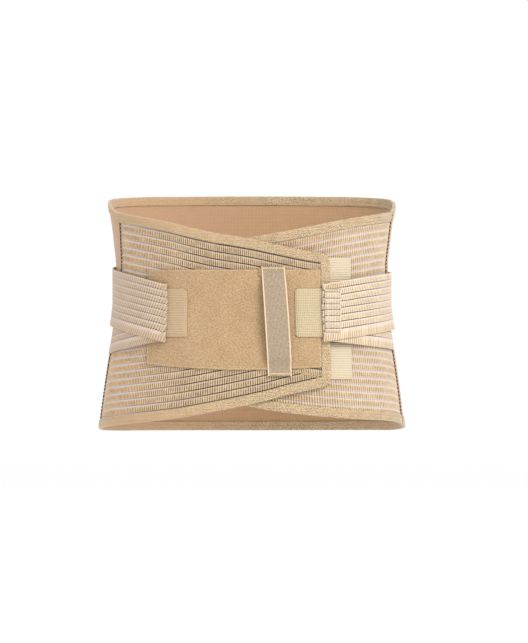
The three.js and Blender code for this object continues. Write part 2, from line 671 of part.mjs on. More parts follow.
/** One tension strap: side is +1 at the wearer's left and -1 at the right. */
function addStrap({ name, side, end, upperSlope, lowerSlope, tabReach }) {
  const length = (s) => side * (s - end);
  const down = (s) => smooth(0, STRAP_SETTLE, length(s) - STRAP_TAB_SEWN);
  const lowerLift = (s) => THREE.MathUtils.lerp(strapOnPatch(s), strapOnPanel, down(s));
  const onLower = (s) => 1 - smooth(STRAP_PAST_SEAM, STRAP_BACK_STATION, side * s);
  const upperLift = (s) => lowerLift(s) + (STRAP_WALL + LAYER_GAP) * onLower(s);
  const climb = (s) => {
    const along = Math.min(length(s), STRAP_LEVEL_OFF);
    return upperSlope * along * (1 - along / (2 * STRAP_LEVEL_OFF));
  };
  const seam = side > 0 ? leftSeam : rightSeam;
  const bands = [
    { band: 'lower', rise: (s) => lowerSlope * length(s), lift: lowerLift, backLine: seam },
    { band: 'upper', rise: climb, lift: upperLift, backLine: fixed(side * STRAP_BACK_STATION) },
  ];
  const endLine = cutAt(end);
  for (const { band, rise, lift, backLine } of bands) {
    const middle = (s) => STRAP_END_MIDDLE + rise(s);
    const lower = (s) => middle(s) - STRAP_WIDTH / 2;
    const upper = (s) => middle(s) + STRAP_WIDTH / 2;
    const [from, to] = side > 0 ? [endLine, backLine] : [backLine, endLine];
    const between = stationsBetween(from, to, lower(end), upper(end));
    if (side < 0) between.reverse();
    const grid = clothGrid({ columns: [endLine, ...between.map(fixed), backLine], lower, upper });
    add(`${name}_${band}_band`, clothWall(grid, lift, STRAP_WALL), fabrics.strap);
  }
  const tabFrom = end - side * tabReach;
  const tabTo = end + side * STRAP_TAB_SEWN;
  const tab = tapeGrid({
    from: Math.min(tabFrom, tabTo),
    to: Math.max(tabFrom, tabTo),
    top: STRAP_END_MIDDLE + STRAP_TAB_HEIGHT / 2,
    bottom: STRAP_END_MIDDLE - STRAP_TAB_HEIGHT / 2,
    corner: STRAP_TAB_CORNER,
    roundFrom: side > 0,
    roundTo: side < 0,
  });
  add(`${name}_hook_tab`, clothWall(tab, onPatch, HOOK_TAPE_WALL), fabrics.hookTape);
}

addBackPanel();
addFrontPanels();
addPatch();
addClosureTabs();
addFingerLoop();
addStrap({
  name: 'left_strap',
  side: 1,
  end: LEFT_STRAP_END,
  upperSlope: LEFT_STRAP_UPPER_SLOPE,
  lowerSlope: LEFT_STRAP_LOWER_SLOPE,
  tabReach: LEFT_TAB_REACH,
});
addStrap({
  name: 'right_strap',
  side: -1,
  end: RIGHT_STRAP_END,
  upperSlope: RIGHT_STRAP_UPPER_SLOPE,
  lowerSlope: RIGHT_STRAP_LOWER_SLOPE,
  tabReach: RIGHT_TAB_REACH,
});

export default belt;
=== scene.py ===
# %% [markdown]
# # A lumbar support belt in elastic mesh
# The belt is shown closed round a waist. Every piece of cloth is first made flat, as it comes off the
# cutting table, and then worn: one function bends it round the body. That is how the real belt gets its
# shape, and it keeps the ribs, threads and stitches at their real spacing.

# %% The frame
import math

import bmesh
import bpy
import numpy as np
from mathutils import Matrix, Vector


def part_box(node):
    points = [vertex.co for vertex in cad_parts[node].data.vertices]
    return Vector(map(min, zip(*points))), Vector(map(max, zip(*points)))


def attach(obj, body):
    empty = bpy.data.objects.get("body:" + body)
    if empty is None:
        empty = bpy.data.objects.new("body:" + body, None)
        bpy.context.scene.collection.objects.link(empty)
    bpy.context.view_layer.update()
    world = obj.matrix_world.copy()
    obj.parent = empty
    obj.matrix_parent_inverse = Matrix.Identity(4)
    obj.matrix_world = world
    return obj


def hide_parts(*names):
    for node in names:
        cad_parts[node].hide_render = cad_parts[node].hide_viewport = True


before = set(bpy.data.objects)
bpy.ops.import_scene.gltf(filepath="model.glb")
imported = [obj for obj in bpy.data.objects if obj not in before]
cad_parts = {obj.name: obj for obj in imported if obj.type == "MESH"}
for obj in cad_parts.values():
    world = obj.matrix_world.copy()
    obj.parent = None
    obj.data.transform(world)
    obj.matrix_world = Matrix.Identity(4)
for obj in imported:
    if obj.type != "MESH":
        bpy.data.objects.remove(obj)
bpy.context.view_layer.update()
MM = 0.001
print("the frame has", len(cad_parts), "pieces of cloth")

# %% [markdown]
# ## The camera
# The photograph was taken level with the middle of the belt, from far away, so the sides hardly converge.
# A long lens at four metres gives the same view. It comes first, so that every later step can be looked at.

# %% Camera
CAMERA_DISTANCE = 4.0  # these four in metres
CAMERA_SIDE = 0.01296
CAMERA_LEVEL = -0.0578
PICTURE_WIDTH = 0.57024  # what the picture spans at the belt
SENSOR_WIDTH = 36.0

camera = bpy.data.objects.new("camera", bpy.data.cameras.new("camera"))
bpy.context.collection.objects.link(camera)
camera.location = (CAMERA_SIDE, -CAMERA_DISTANCE, CAMERA_LEVEL)
camera.rotation_euler = (math.pi / 2, 0, 0)
camera.data.sensor_fit = "HORIZONTAL"
camera.data.sensor_width = SENSOR_WIDTH
camera.data.lens = SENSOR_WIDTH * CAMERA_DISTANCE / PICTURE_WIDTH
camera.data.clip_end = 50
bpy.context.scene.camera = camera
print("lens", round(camera.data.lens, 1), "mm")

# %% [markdown]
# ## The body that the cloth is bent round
# A place on the belt has two numbers, in millimetres: the girth, which is the length round the waist from
# the front centre towards the wearer's left, and the height from the waist level. Horizontal sections are
# rounded ovals. A short table says how they widen towards the hips and the ribs.

# %% The body's sections
WAIST_WIDTH = 289
WAIST_DEPTH = 196
WAIST_ROUNDNESS = 2.35
BELT_DROP = -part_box("back_panel")[0][2] / MM
BELT_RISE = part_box("back_panel")[1][2] / MM

# level: share of the belt's drop below the waist, or of its rise above it; the others are shares of the
# waist's own width and depth, and the last one is how far the section lies back, as a share of the depth
SECTIONS = {
    "level": [-1.0, -0.74, -0.556, -0.376, -0.197, 0.0, 0.375, 1.0],
    "width": [1.13, 1.092, 1.06, 1.026, 1.0, 1.0, 1.02, 1.066],
    "depth": [1.19, 1.15, 1.1, 1.045, 1.005, 1.0, 1.02, 1.06],
    "shift": [0.03, 0.025, 0.017, 0.007, 0.001, 0.0, 0.006, 0.02],
}


def smooth_table(keys, values, at):
    """Reads a table smoothly and without overshoot."""
    keys, values = np.asarray(keys, float), np.asarray(values, float)
    if keys[0] > keys[-1]:
        keys, values = keys[::-1], values[::-1]
    slopes = np.diff(values) / np.diff(keys)
    before, after = slopes[:-1], slopes[1:]
    same_way = before * after > 0
    inner = np.where(same_way, 2 * before * after / np.where(same_way, before + after, 1), 0)
    tangents = np.concatenate([[slopes[0]], inner, [slopes[-1]]])
    at = np.clip(at, keys[0], keys[-1])
    i = np.clip(np.searchsorted(keys, at) - 1, 0, len(keys) - 2)
    span = keys[i + 1] - keys[i]
    t = (at - keys[i]) / span
    return (
        (2 * t**3 - 3 * t**2 + 1) * values[i]
        + (t**3 - 2 * t**2 + t) * span * tangents[i]
        + (3 * t**2 - 2 * t**3) * values[i + 1]
        + (t**3 - t**2) * span * tangents[i + 1]
    )


def section(height):
    """Width, depth and shift of the body at heights, as in the table."""
    level = np.where(height < 0, height / BELT_DROP, height / BELT_RISE)
    columns = ("width", "depth", "shift")
    return [smooth_table(SECTIONS["level"], SECTIONS[column], level) for column in columns]


def body_point(direction, height):
    """Points of the body at directions from the front, in radians, and heights, in millimetres."""
    width, depth, shift = section(height)
    across = np.abs(np.sin(direction)) / (width * WAIST_WIDTH / 2)
    through = np.abs(np.cos(direction)) / (depth * WAIST_DEPTH / 2)
    radius = (across**WAIST_ROUNDNESS + through**WAIST_ROUNDNESS) ** (-1 / WAIST_ROUNDNESS)
    x = radius * np.sin(direction)
    y = shift * WAIST_DEPTH - radius * np.cos(direction)
    return np.stack([x, y, height + 0 * x], axis=-1)


GIRTH_STEPS = 1440
turns = np.linspace(0, math.pi, GIRTH_STEPS + 1)
waist_line = body_point(turns, np.zeros_like(turns))
waist_lengths = np.concatenate([[0], np.cumsum(np.linalg.norm(np.diff(waist_line, axis=0), axis=1))])
HALF_GIRTH = waist_lengths[-1]
print("waist", round(2 * HALF_GIRTH), "mm round")


def direction_at(girth):
    """The direction of places round the waist, also past the middle of the back."""
    whole = 2 * HALF_GIRTH * np.round(girth / (2 * HALF_GIRTH))
    within = girth - whole
    turned = np.interp(np.abs(within), waist_lengths, turns) * np.sign(within)
    return turned + whole * math.pi / HALF_GIRTH


SMALL_TURN = 0.002
SMALL_RISE = 0.5


def on_body(girth, height, lift):
    """Points lifted off the body along its own normal, in millimetres."""
    direction = direction_at(girth)
    along = body_point(direction + SMALL_TURN, height) - body_point(direction - SMALL_TURN, height)
    up = body_point(direction, height + SMALL_RISE) - body_point(direction, height - SMALL_RISE)
    normal = np.cross(along, up)
    normal /= np.linalg.norm(normal, axis=-1, keepdims=True)
    return body_point(direction, height) + normal * np.asarray(lift)[..., None]


def girth_ratio(height):
    """How much longer the girth is at a height than at the waist."""
    width, depth, _ = section(np.asarray(height, float))
    return (width + depth) / 2


# %% [markdown]
# ## The layers
# Where the belt closes, six layers lie on each other. Each has its own lift off the body, so nothing cuts
# through anything. The outer panel climbs over the inner panel's hidden end on a long ramp.

# %% Walls and lifts
PANEL_WALL = 1.8
BACK_WALL = 2.2
BINDING_WALL = 0.6
PATCH_WALL = 1.4
TAB_WALL = 1.0
WEBBING_WALL = 1.2
STRAP_WALL = 1.5
LAYER_GAP = 0.35
OVERLAP_END = -72
OVERLAP_RAMP = 64
OVERLAP_CLEAR = 2.5


def smooth_step(start, end, value):
    """0 before start, 1 after end and an even turn between them."""
    t = np.clip((value - start) / (end - start), 0, 1)
    return t * t * (3 - 2 * t)


def on_skin(girth, height):
    """The lift of what lies on the body itself."""
    return 0 * girth


def outer_lift(girth, height):
    """The lift of the outer panel, which rides over the inner panel's binding and the closure tabs."""
    top = PANEL_WALL + TAB_WALL + BINDING_WALL + 3 * LAYER_GAP
    return top * smooth_step(OVERLAP_END - OVERLAP_RAMP, OVERLAP_END - OVERLAP_CLEAR, girth)


def patch_lift(girth, height):
    """The lift of the velour patch on the outer panel."""
    return outer_lift(girth, height) + PANEL_WALL + LAYER_GAP


def on_patch(girth, height):
    """The lift of what is fastened to the patch."""
    return patch_lift(girth, height) + PATCH_WALL + LAYER_GAP


# %% [markdown]
# ## Materials
# The whole belt is knitted or woven polyamide and elastane in beiges. What tells its cloths apart is their
# structure, so each material draws its own threads at their real spacing, in millimetres, on the piece's
# own UV map: U is the length along the cloth and V the length across it, both in metres.

# %% Node helper
def linear(hex_colour):
    """An sRGB hex colour as linear RGBA."""
    channels = [int(hex_colour[i : i + 2], 16) / 255 for i in (1, 3, 5)]
    return tuple(c / 12.92 if c <= 0.04045 else ((c + 0.055) / 1.055) ** 2.4 for c in channels) + (1.0,)


def result(node):
    """The output that a node gives with its present settings."""
    return next(output for output in node.outputs if output.enabled)


def add_node(material, kind, inputs=None, **settings):
    """Adds a node with its settings. An input is a value, a socket, or a node that gives its result."""
    tree = material.node_tree
    node = tree.nodes.new("ShaderNode" + kind)
    for name, value in settings.items():
        setattr(node, name, value)
    for name, value in (inputs or {}).items():
        if isinstance(value, bpy.types.Node):
            value = result(value)
        if isinstance(value, bpy.types.NodeSocket):
            tree.links.new(value, node.inputs[name])
        else:
            node.inputs[name].default_value = value
    return node


# where a Mix node that mixes colours has its factor and its two colours
SHARE, FIRST, SECOND = 0, 6, 7


def new_cloth(name, roughness, sheen):
    """An empty cloth material, with the lengths along and across the cloth that its patterns follow."""
    material = bpy.data.materials.new(name)
    material.use_nodes = True
    material.node_tree.nodes.clear()
    uv = add_node(material, "UVMap", uv_map="cloth")
    lengths = add_node(material, "SeparateXYZ", {"Vector": uv})
    surface = add_node(material, "BsdfPrincipled", {"Roughness": roughness, "IOR": 1.53})
    surface.inputs["Specular IOR Level"].default_value = 0.25
    surface.inputs["Sheen Weight"].default_value = sheen
    surface.inputs["Sheen Roughness"].default_value = 0.5
    add_node(material, "OutputMaterial", {"Surface": surface})
    return material, surface, uv, lengths.outputs["X"], lengths.outputs["Y"]


def dye(material, surface, colour, relief, depth):
    """Gives a cloth its colour and a relief of a depth in millimetres."""
    bump = add_node(material, "Bump", {"Height": relief, "Distance": depth * MM, "Strength": 1.0})
    material.node_tree.links.new(result(colour), surface.inputs["Base Color"])
    material.node_tree.links.new(result(bump), surface.inputs["Normal"])
    print("material", material.name, "with", len(material.node_tree.nodes), "nodes")
    return material


# %% [markdown]
# Two patterns come back in most of the cloths. Threads and rows are a cosine of a length, which is 1 on the
# thread and 0 between two threads. Blotches are noise of a known size, for uneven dye and worn pile.

# %% Patterns
def threads(material, length, pitch, phase=0.0):
    """1 on each thread and 0 midway between two, with the pitch in millimetres."""
    turned = {0: length, 1: 2 * math.pi / (pitch * MM), 2: phase}
    turn = add_node(material, "Math", turned, operation="MULTIPLY_ADD")
    cosine = add_node(material, "Math", {0: turn}, operation="COSINE")
    return add_node(material, "Math", {0: cosine, 1: 0.5, 2: 0.5}, operation="MULTIPLY_ADD")


def blotches(material, uv, size, detail=2.0, stretch=1.0):
    """Noise with spots of about a size in millimetres, spread over 0 to 1, stretched across the cloth."""
    spots = add_node(material, "Mapping", {"Vector": uv, "Scale": (1.0, 1.0 / stretch, 1.0)})
    noise = add_node(material, "TexNoise", {"Vector": spots, "Scale": 1 / (size * MM), "Detail": detail})
    return add_node(material, "MapRange", {"Value": noise, "From Min": 0.3, "From Max": 0.7})


# %% [markdown]
# ### Open-row elastic mesh
# Warp-knitted elastic: upright threads in cream and tan make flat ribs, and between two ribs runs an open
# row where only thin filament bridges the gap. The ribs, rows and holes are real geometry. The material
# gives each thread its light crest and brown hollow, partly the yarns' own colours and partly a painted
# highlight on the crest and painted shade in the hollow. It paints a highlight on the rib's lip below each
# row as its bright edge. The rows get their filament, which on the outer panel is pale at the side and
# dark slate where the front is double; that dark slate is painted shade of the layer beneath. V counts the
# rows, ROW_STEP apart, and grows upwards.

# %% Elastic mesh
OUTER_PITCH = 2.15
INNER_PITCH = 2.45
LEFT_STRAP_PITCH = 2.4
RIGHT_STRAP_PITCH = 3.0
ROW_STEP = 8.0  # V from row to row, as if the rows were 8 mm apart
ROW_HEIGHT = 0.95
ROW_BLUR = 0.75
LIP_HIGHLIGHT_HEIGHT = 1.4  # how far below a row the painted highlight on its lip is brightest
LOOP_HEIGHT = 1.9  # one knitted loop along a thread; the real one is half of it, too fine to show


def height_share(height):
    """What a row pattern reads at half a height from the row's middle."""
    return 0.5 + 0.5 * math.cos(math.pi * height / ROW_STEP)


def elastic_mesh(name, pitch, cloth, double_cloth, rows, change, lip_highlight, lip_highlight_shares, row_breaks, relief):
    """Mesh with a painted highlight on each thread and painted shade between threads. Its thread and row
    colours change between two lengths in mm.
    """
    material, surface, uv, along, across = new_cloth(name, 0.8, 0.15)
    changed = {"Value": along, "From Min": change[0] * MM, "From Max": change[1] * MM}
    shift = add_node(material, "MapRange", changed)
    mixed = []
    for first, second in [*zip(cloth, double_cloth), rows]:
        colours = {SHARE: shift, FIRST: linear(first), SECOND: linear(second)}
        mixed.append(add_node(material, "Mix", colours, data_type="RGBA"))
    # crest and hollow colours: the yarns' own colours, with a painted highlight on the crest and painted
    # shade in the hollow
    crest_and_highlight, hollow_and_shade, filament_and_shade = mixed
    thread = threads(material, along, pitch)
    loops = threads(material, across, LOOP_HEIGHT)
    worn = add_node(material, "Math", {0: thread, 1: loops}, operation="MULTIPLY")
    knit = add_node(material, "Math", {0: worn, 1: -0.2, 2: thread}, operation="MULTIPLY_ADD")
    uneven = blotches(material, uv, 2.3, 1.0, 1.7)
    patchy = blotches(material, uv, 17.0, 1.0)
    fibres = add_node(material, "Math", {0: uneven, 1: 0.4, 2: knit}, operation="MULTIPLY_ADD")
    shade = add_node(material, "Math", {0: patchy, 1: 0.25, 2: fibres}, operation="MULTIPLY_ADD")
    light = add_node(material, "MapRange", {"Value": shade, "From Min": 0.4, "From Max": 1.1})
    row = threads(material, across, ROW_STEP)
    near = {"Value": row, "From Min": height_share(3.6), "From Max": height_share(1.8), "To Max": 0.2}
    fade = add_node(material, "MapRange", near)
    softened = add_node(material, "Math", {0: light, 1: fade}, operation="ADD")
    ribs = add_node(material, "Mix", {SHARE: softened, FIRST: hollow_and_shade, SECOND: crest_and_highlight}, data_type="RGBA")
    # the rib's lip below each row gets a painted highlight as its bright edge
    below = threads(material, across, ROW_STEP, 2 * math.pi * LIP_HIGHLIGHT_HEIGHT / ROW_STEP)
    shares = {**changed, "To Min": lip_highlight_shares[0], "To Max": lip_highlight_shares[1]}
    highlight_strength = add_node(material, "MapRange", shares)
    lip_highlight_range = {"Value": below, "From Min": height_share(2.4), "From Max": height_share(1.2)}
    on_lip_highlight = add_node(material, "MapRange", {**lip_highlight_range, "To Max": highlight_strength})
    lip_highlighted = add_node(material, "Mix", {SHARE: on_lip_highlight, FIRST: ribs, SECOND: linear(lip_highlight)}, data_type="RGBA")
    far, close = height_share(ROW_HEIGHT + ROW_BLUR), height_share(ROW_HEIGHT)
    share = add_node(material, "MapRange", {"Value": row, "From Min": far, "From Max": close})
    on_thread = {"Value": thread, "From Min": 0.65, "From Max": 0.95}
    breaks = add_node(material, "MapRange", {**on_thread, "To Min": 1.0, "To Max": 1.0 - row_breaks})
    seen = add_node(material, "Math", {0: share, 1: breaks}, operation="MULTIPLY")
    # where the rows colour is dark, it is painted shade of the layers under the open rows
    colour = add_node(material, "Mix", {SHARE: seen, FIRST: lip_highlighted, SECOND: filament_and_shade}, data_type="RGBA")
    return dye(material, surface, colour, knit, relief)


# In each mesh below, the crest colours hold a painted highlight and the hollow colours hold painted shade;
# the lip colour is a painted highlight, and the darker rows colour is painted shade.
outer_mesh = elastic_mesh(
    "elastic_mesh_outer",
    OUTER_PITCH,
    cloth=("#dcbd97", "#9a7350"),
    double_cloth=("#cdb692", "#785c43"),
    rows=("#cabfb8", "#37313b"),
    change=(-140, -60),
    lip_highlight="#cdc2b7",
    lip_highlight_shares=(0.9, 0.3),
    row_breaks=0.25,
    relief=0.3,
)
inner_mesh = elastic_mesh(
    "elastic_mesh_inner",
    INNER_PITCH,
    cloth=("#cfb791", "#8a6a48"),
    double_cloth=("#cdb99a", "#9c7c5a"),
    rows=("#8f838c", "#c6bcbf"),
    change=(30, 100),
    lip_highlight="#d8cdc2",
    lip_highlight_shares=(0.25, 0.4),
    row_breaks=0.2,
    relief=0.3,
)
left_strap_mesh = elastic_mesh(
    "strap_mesh_left",
    LEFT_STRAP_PITCH,
    cloth=("#d9c7a9", "#a78d70"),
    double_cloth=("#d4c3a9", "#ad967d"),
    rows=("#6b6070", "#baacb5"),
    change=(110, 185),
    lip_highlight="#dccdbc",
    lip_highlight_shares=(0.5, 0.5),
    row_breaks=0.3,
    relief=0.15,
)
right_strap_mesh = elastic_mesh(
    "strap_mesh_right",
    RIGHT_STRAP_PITCH,
    cloth=("#c6b09a", "#b69c85"),
    double_cloth=("#ccb69c", "#a98e73"),
    rows=("#a897a1", "#625869"),
    change=(-165, -115),
    lip_highlight="#ddccb8",
    lip_highlight_shares=(0.3, 0.6),
    row_breaks=0.95,
    relief=0.08,
)

# %% [markdown]
# ### Knit of the back and the binding
# The back is a dense smooth knit. The binding is a folded knit tape, speckled all over, because its needles
# pull bright loops up through a darker ground, in slanting lines.

# %% Knits
KNIT_PITCH = 1.5


def smooth_knit(name, shades, slant, speckle):
    """A fine knit in a light, a dark and a speck colour. Slant leans its lines, speckle strengthens them.

    The fourth colour evens it out towards the wearer's right side.
    """
    light, dark, speck, even = (linear(shade) for shade in shades)
    material, surface, uv, along, across = new_cloth(name, 0.85, 0.3)
    diagonal = add_node(material, "Math", {0: across, 1: slant, 2: along}, operation="MULTIPLY_ADD")
    wales = threads(material, diagonal, KNIT_PITCH)
    courses = threads(material, across, KNIT_PITCH)
    knit = add_node(material, "Math", {0: wales, 1: courses}, operation="MULTIPLY")
    grain = blotches(material, uv, 1.05, 1.0)
    loose = add_node(material, "Math", {0: grain, 1: speckle, 2: knit}, operation="MULTIPLY_ADD")
    uneven = blotches(material, uv, 9.0)
    shade = add_node(material, "Math", {0: uneven, 1: 0.2, 2: loose}, operation="MULTIPLY_ADD")
    darkest, lightest = 0.35 * speckle, 0.6 + 0.7 * speckle
    tone = add_node(material, "MapRange", {"Value": shade, "From Min": darkest, "From Max": lightest})
    cloth = add_node(material, "Mix", {SHARE: tone, FIRST: dark, SECOND: light}, data_type="RGBA")
    brightest = {"Value": loose, "From Min": 0.45 + speckle, "From Max": 0.75 + speckle}
    bright = add_node(material, "MapRange", brightest)
    mottled = add_node(material, "Mix", {SHARE: bright, FIRST: cloth, SECOND: speck}, data_type="RGBA")
    places = add_node(material, "TexCoord")
    sides = add_node(material, "SeparateXYZ", {"Vector": places.outputs["Object"]})
    to_the_left = {"Value": sides, "From Min": -0.12, "From Max": 0.02, "To Min": 0.35}
    share = add_node(material, "MapRange", to_the_left)
    colour = add_node(material, "Mix", {SHARE: share, FIRST: even, SECOND: mottled}, data_type="RGBA")
    return dye(material, surface, colour, loose, 0.16)


back_knit = smooth_knit("smooth_back_knit", ("#bf9c7a", "#ae8660", "#c4a785", "#bd987a"), 0.0, 0.3)
binding_knit = smooth_knit("folded_binding_knit", ("#d6bf9a", "#7f6242", "#eee2c6", "#c3a07a"), 0.6, 1.0)

# %% [markdown]
# ### Velour, hook tape and webbing
# Velour is brushed loop pile: it has no threads to see, only a salt-and-pepper grain where the pile parts,
# and a sheen at its edges. Hook tape is moulded in fine ridges. The webbing is a plain weave of grey and
# beige yarn with a cream selvedge.

# %% Velour
def velour(name, light, dark):
    """Brushed pile with a fine grain and faint larger patches."""
    material, surface, uv, along, across = new_cloth(name, 1.0, 0.4)
    coarse = blotches(material, uv, 22.0, 1.0)
    fine = blotches(material, uv, 4.5, 2.0)
    grain = blotches(material, uv, 1.6, 1.0)
    parted = add_node(material, "Math", {0: fine, 1: 0.2, 2: grain}, operation="MULTIPLY_ADD")
    pile = add_node(material, "Math", {0: coarse, 1: 0.25, 2: parted}, operation="MULTIPLY_ADD")
    share = add_node(material, "MapRange", {"Value": pile, "From Min": 0.1, "From Max": 1.35})
    shades = {SHARE: share, FIRST: linear(dark), SECOND: linear(light)}
    colour = add_node(material, "Mix", shades, data_type="RGBA")
    return dye(material, surface, colour, pile, 0.3)


patch_velour = velour("loop_velour", "#c0a480", "#9b7a54")


# %% Hook tape
HOOK_PITCH = 1.85


def hook_tape(name, light, dark, upright):
    """Moulded hooks in rows along the tape; upright is how much the rows across it show."""
    material, surface, uv, along, across = new_cloth(name, 0.5, 0.1)
    rows = threads(material, across, HOOK_PITCH)
    columns = threads(material, along, HOOK_PITCH)
    hooks = add_node(material, "Math", {0: columns, 1: upright, 2: rows}, operation="MULTIPLY_ADD")
    uneven = blotches(material, uv, 2.0)
    shade = add_node(material, "Math", {0: uneven, 1: 0.3, 2: hooks}, operation="MULTIPLY_ADD")
    share = add_node(material, "MapRange", {"Value": shade, "From Max": 1.15 + upright})
    shades = {SHARE: share, FIRST: linear(dark), SECOND: linear(light)}
    colour = add_node(material, "Mix", shades, data_type="RGBA")
    return dye(material, surface, colour, hooks, 0.35)


ridged_hooks = hook_tape("hook_tape_ridged", "#d8cab1", "#b8a484", 0.1)
gridded_hooks = hook_tape("hook_tape_gridded", "#d6c6a5", "#a48c66", 0.5)
plain_hooks = hook_tape("hook_tape_plain", "#c8af90", "#a88a66", 0.2)


# %% Webbing
YARN_PITCH = 1.3
TWILL_PITCH = 3.4
TWILL_SLANT = 0.9
LOOP_WIDTH = 24
SELVEDGE = 1.5


def webbing(name, light, dark, edge):
    """A twilled weave whose selvedges are another colour. U runs across the strip here."""
    material, surface, uv, along, across = new_cloth(name, 0.7, 0.25)
    warp = threads(material, along, YARN_PITCH)
    slanting = add_node(material, "Math", {0: along, 1: TWILL_SLANT, 2: across}, operation="MULTIPLY_ADD")
    weft = threads(material, slanting, TWILL_PITCH)
    weave = add_node(material, "Math", {0: weft, 1: 0.25, 2: warp}, operation="MULTIPLY_ADD")
    uneven = blotches(material, uv, 2.2)
    shade = add_node(material, "Math", {0: uneven, 1: 0.9, 2: weave}, operation="MULTIPLY_ADD")
    share = add_node(material, "MapRange", {"Value": shade, "From Min": 0.1, "From Max": 2.0})
    shades = {SHARE: share, FIRST: linear(dark), SECOND: linear(light)}
    cloth = add_node(material, "Mix", shades, data_type="RGBA")
    middle = add_node(material, "Math", {0: along, 1: -LOOP_WIDTH / 2 * MM}, operation="ADD")
    from_middle = add_node(material, "Math", {0: middle}, operation="ABSOLUTE")
    reach = (LOOP_WIDTH / 2 - SELVEDGE) * MM
    past = {"Value": from_middle, "From Min": reach, "From Max": reach + 0.3 * MM}
    on_edge = add_node(material, "MapRange", past)
    edged = {SHARE: on_edge, FIRST: cloth, SECOND: linear(edge)}
    colour = add_node(material, "Mix", edged, data_type="RGBA")
    return dye(material, surface, colour, weave, 0.15)


loop_webbing = webbing("grey_beige_webbing", "#b5a28a", "#826f5a", "#dfc8a4")


# %% Sewing thread
def sewing_thread(name, light, dark):
    """Twisted polyester thread, unevenly lit along its stitches."""
    material, surface, uv, along, across = new_cloth(name, 0.6, 0.2)
    uneven = blotches(material, uv, 1.2)
    shades = {SHARE: uneven, FIRST: linear(dark), SECOND: linear(light)}
    colour = add_node(material, "Mix", shades, data_type="RGBA")
    return dye(material, surface, colour, uneven, 0.1)


# brown thread, darkened almost to black as painted shade of the seam's groove
brown_thread_and_groove_shade = sewing_thread("brown_seam_thread_and_shade", "#2f1d11", "#150c07")
# the colour of the loop's folded cream hem, darkened with painted shade of the shadow beside it
beige_hem_with_shade = sewing_thread("beige_hem_with_shade", "#b4986f", "#8a6b46")
cream_thread = sewing_thread("cream_thread", "#e3cfa8", "#bd9f73")
white_thread = sewing_thread("white_thread", "#e9ddc9", "#d0bc9f")

# %% [markdown]
# ## Cutting and wearing
# A sheet starts as a grid of cells. Each corner gets its place on the cutting table: x is the girth, y the
# height and z how far the cloth's face stands off its underside. Cells that are holes are deleted, lines
# are cut with a bisecting plane, and one extrusion closes the sheet underneath.

# %% Cutting
FIRM = math.radians(42)  # sharper edges than this stay sharp


def cut_line(start, end):
    """A cut from one place to another, that drops what lies to its right."""
    (x, y), (to_x, to_y) = start, end
    return (x, y, 0), (to_y - y, x - to_x, 0)


def corners(bm):
    """The places of a mesh's corners as an array."""
    return np.array([vert.co for vert in bm.verts])


def cut_cloth(columns, rows, place, cuts=(), is_hole=None):
    """A closed flat sheet, and its flat area in square millimetres, holes counted as cloth."""
    across, up = len(columns) - 1, len(rows) - 1
    bm = bmesh.new()
    bmesh.ops.create_grid(bm, x_segments=across, y_segments=up, size=0.5)
    hole = bm.faces.layers.int.new("hole")
    if is_hole:
        for face in bm.faces:
            middle = face.calc_center_median()
            face[hole] = is_hole(int((middle.x + 0.5) * across), int((middle.y + 0.5) * up))
    unit = corners(bm)
    i = np.rint((unit[:, 0] + 0.5) * across).astype(int)
    j = np.rint((unit[:, 1] + 0.5) * up).astype(int)
    for vert, spot in zip(bm.verts, np.stack(place(columns[i], rows[j], i, j), axis=-1)):
        vert.co = spot
    for point, outward in cuts:
        everything = bm.verts[:] + bm.edges[:] + bm.faces[:]
        bmesh.ops.bisect_plane(bm, geom=everything, plane_co=point, plane_no=outward, clear_outer=True)
    bm.normal_update()
    sizes = np.array([face.calc_area() * abs(face.normal.z) for face in bm.faces])
    heights = np.array([face.calc_center_median().y for face in bm.faces])
    area = float(np.sum(sizes * girth_ratio(heights)))
    bmesh.ops.delete(bm, geom=[face for face in bm.faces if face[hole]], context="FACES")
    lowered = bmesh.ops.extrude_face_region(bm, geom=bm.faces[:])["geom"]
    for vert in lowered:
        if isinstance(vert, bmesh.types.BMVert):
            vert.co.z = 0
    bmesh.ops.recalc_face_normals(bm, faces=bm.faces[:])
    return bm, area


# %% [markdown]
# Wearing moves every corner from the table to the body. The flat lengths stay behind in the UV map, which
# the weaves follow. The piece then rides on the belt's one body and stands for its part of the frame.

# %% Wearing
def wear(name, bm, lift, material, slot, replaced=(), thread_lengths=None):
    """Bends a flat piece round the body and hides the frame's pieces that it replaces."""
    mesh = bpy.data.meshes.new(name)
    bm.to_mesh(mesh)
    bm.free()
    flat = np.empty(len(mesh.vertices) * 3)
    mesh.vertices.foreach_get("co", flat)
    x, y, z = flat.reshape(-1, 3).T
    lengths = np.stack(thread_lengths(x, y) if thread_lengths else (x, y), axis=-1) * MM
    loops = np.empty(len(mesh.loops), dtype=int)
    mesh.loops.foreach_get("vertex_index", loops)
    mesh.uv_layers.new(name="cloth").data.foreach_set("uv", lengths[loops].ravel())
    worn = on_body(x, y, lift(x, y) + z) * MM
    mesh.vertices.foreach_set("co", worn.ravel())
    mesh.shade_smooth()
    mesh.set_sharp_from_angle(angle=FIRM)
    mesh.materials.append(material)
    piece = bpy.data.objects.new(name, mesh)
    bpy.context.collection.objects.link(piece)
    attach(piece, "root")
    if replaced:
        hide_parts(*replaced)
    mesh.calc_loop_triangles()
    print(name, len(mesh.loop_triangles), "triangles")
    return piece


# %% [markdown]
# ## Stitches
# A sewn line is a row of short threads that sink into the cloth at both ends. Each stitch is a ball drawn
# out to its length, so a line of hundreds stays light. A zigzag swings from side to side of its line.

